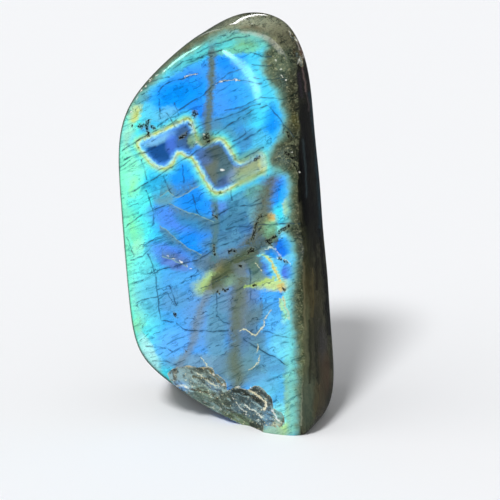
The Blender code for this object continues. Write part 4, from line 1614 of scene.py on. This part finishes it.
def make_sky():
    """A soft even sky, which the camera sees as the backdrop and the polish mirrors as dark."""
    world = bpy.data.worlds.new("studio")
    bpy.context.scene.world = world
    world.use_nodes = True
    tree = world.node_tree
    tree.nodes.clear()
    paint = Paint(tree)
    sky, mirrored, backdrop = [
        paint.node("ShaderNodeBackground", {"Color": colour, "Strength": strength})
        for colour, strength in ((SKY_COLOUR, SKY_STRENGTH), (MIRRORED_SKY, 1.0), (BACKDROP_COLOUR, 1.0))
    ]
    both, path = glossy_only(paint, sky, mirrored)
    values = (path.outputs["Is Camera Ray"], both, backdrop)
    for_camera = paint.node("ShaderNodeMixShader", values)
    output = tree.nodes.new("ShaderNodeOutputWorld")
    tree.links.new(for_camera, output.inputs["Surface"])


def make_lamp(name, azimuth, elevation, strength, softness):
    """A distant lamp, which the polish doesn't mirror."""
    data = bpy.data.lights.new(name, "SUN")
    data.energy = strength
    data.angle = math.radians(softness)
    lamp = new_object(name, data)
    turn_back_to(lamp, looking(azimuth, elevation))
    lamp.visible_glossy = False


def turn_back_to(thing, direction):
    """Turn a lamp or a camera so that its back is to a direction, and it looks the other way."""
    thing.rotation_mode = "QUATERNION"
    thing.rotation_quaternion = Vector(direction).to_track_quat("Z", "Y")


def hit_by_eye(pixel):
    """The point of the stone that shows at a pixel of the photograph, and the way to the eye."""
    across = pixel[0] - PICTURE_MIDDLE
    up = PICTURE_MIDDLE - pixel[1]
    ray = VIEW_RIGHT * across + VIEW_UP * up - TO_EYE * PICTURE_FOCUS
    ray /= np.linalg.norm(ray)
    steps = np.linspace(VIEW_DISTANCE - RAY_REACH, VIEW_DISTANCE + RAY_REACH, RAY_STEPS)[:, None]
    places = EYE + steps * ray - HEART
    reaches = np.linalg.norm(places, axis=1)
    surfaces = surface(places / reaches[:, None])[0] - HEART
    inside = reaches < np.linalg.norm(surfaces, axis=1)
    first = int(np.argmax(inside)) if inside.any() else int(np.argmin(reaches))
    return places[first] + HEART, -ray


def polish_normal(point):
    """The way the stone's surface faces at a point."""
    direction = (point - HEART) / np.linalg.norm(point - HEART)
    side = np.cross(direction, (0.0, 0.0, 1.0))
    side /= np.linalg.norm(side)
    over = np.cross(side, direction)
    near = np.array([direction, direction + side * NORMAL_STEP, direction + over * NORMAL_STEP])
    points = surface(near / np.linalg.norm(near, axis=1, keepdims=True))[0]
    normal = np.cross(points[1] - points[0], points[2] - points[0])
    normal /= np.linalg.norm(normal)
    return normal if normal @ direction > 0.0 else -normal


def mirrored_place(pixel, distance):
    """Where a card has to stand for its image to show at a pixel of the photograph."""
    point, to_eye = hit_by_eye(pixel)
    normal = polish_normal(point)
    away = 2.0 * (normal @ to_eye) * normal - to_eye
    return point + away * distance


def card_faces(rows):
    """The faces between rows of corners across a card."""
    wide = len(CARD_ROWS)
    return [
        (first + step, first + step + 1, first + step + 1 + wide, first + step + wide)
        for first in range(0, wide * (rows - 1), wide)
        for step in range(wide - 1)
    ]


def add_card(name, rungs, strength, colour):
    """A bright card that only mirrored light sees, from rows of corners across it. It fades out at
    its two long edges."""
    data = bpy.data.meshes.new(name)
    data.from_pydata([corner for rung in rungs for corner in rung], [], card_faces(len(rungs)))
    add_values(data, "glow", [glow for _, glow in CARD_ROWS] * len(rungs))
    material, tree = new_material(name)
    tree.nodes.clear()
    paint = Paint(tree)
    light = tree.nodes.new("ShaderNodeEmission")
    light.inputs["Color"].default_value = (*colour, 1.0)
    tree.links.new(paint.math("MULTIPLY", paint.value("glow"), strength), light.inputs["Strength"])
    output = tree.nodes.new("ShaderNodeOutputMaterial")
    tree.links.new(light.outputs[0], output.inputs["Surface"])
    data.materials.append(material)
    card = new_object(name, data)
    card.visible_camera = False
    card.visible_diffuse = False
    card.visible_transmission = False
    card.visible_shadow = False


def make_highlights(shift):
    """The cards whose images are the highlights of the photograph."""
    for name, (middles, distance, strength) in HIGHLIGHTS.items():
        places = np.array(middles, dtype=float)
        runs = np.gradient(places[:, :2], axis=0)
        runs /= np.linalg.norm(runs, axis=1, keepdims=True)
        across = np.stack([-runs[:, 1], runs[:, 0]], axis=1) * places[:, 2:]
        rungs = [
            [in_metres(mirrored_place(middle + side * row, distance), shift) for row, _ in CARD_ROWS]
            for middle, side in zip(places[:, :2], across)
        ]
        add_card(name.replace(" ", "_"), rungs, strength, STREAK_TINT)


def make_softboxes(shift):
    """The cards around the stone, each facing its heart."""
    for name, (azimuth, elevation, distance, width, height, strength) in SOFTBOXES.items():
        towards = looking(azimuth, elevation)
        side = looking(azimuth + 90.0, 0.0)
        rise = np.cross(towards, side)
        rungs = [
            [
                in_metres(HEART + towards * distance + rise * end + side * (row * width / 2.0), shift)
                for row, _ in CARD_ROWS
            ]
            for end in (-height / 2.0, height / 2.0)
        ]
        add_card(name.replace(" ", "_") + "_softbox", rungs, strength, SOFTBOX_TINT)


def make_camera(shift):
    """The camera, where the photograph was taken from."""
    data = bpy.data.cameras.new("camera")
    data.sensor_width = SENSOR_WIDTH
    data.lens = SENSOR_WIDTH * PICTURE_FOCUS / PICTURE_SIZE
    data.clip_start, data.clip_end = CAMERA_CLIP
    camera = new_object("camera", data)
    camera.location = in_metres(EYE, shift)
    turn_back_to(camera, TO_EYE)
    bpy.context.scene.camera = camera


bpy.context.scene.view_settings.view_transform = "Standard"
stone, shift = make_stone()
stone.data.materials.append(labradorite_material())
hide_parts("labradorite_stone")
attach(stone, "root")
make_floor()
make_sky()
for lamp_name, lamp_values in LAMPS.items():
    make_lamp(lamp_name, *lamp_values)
make_highlights(shift)
make_softboxes(shift)
make_camera(shift)
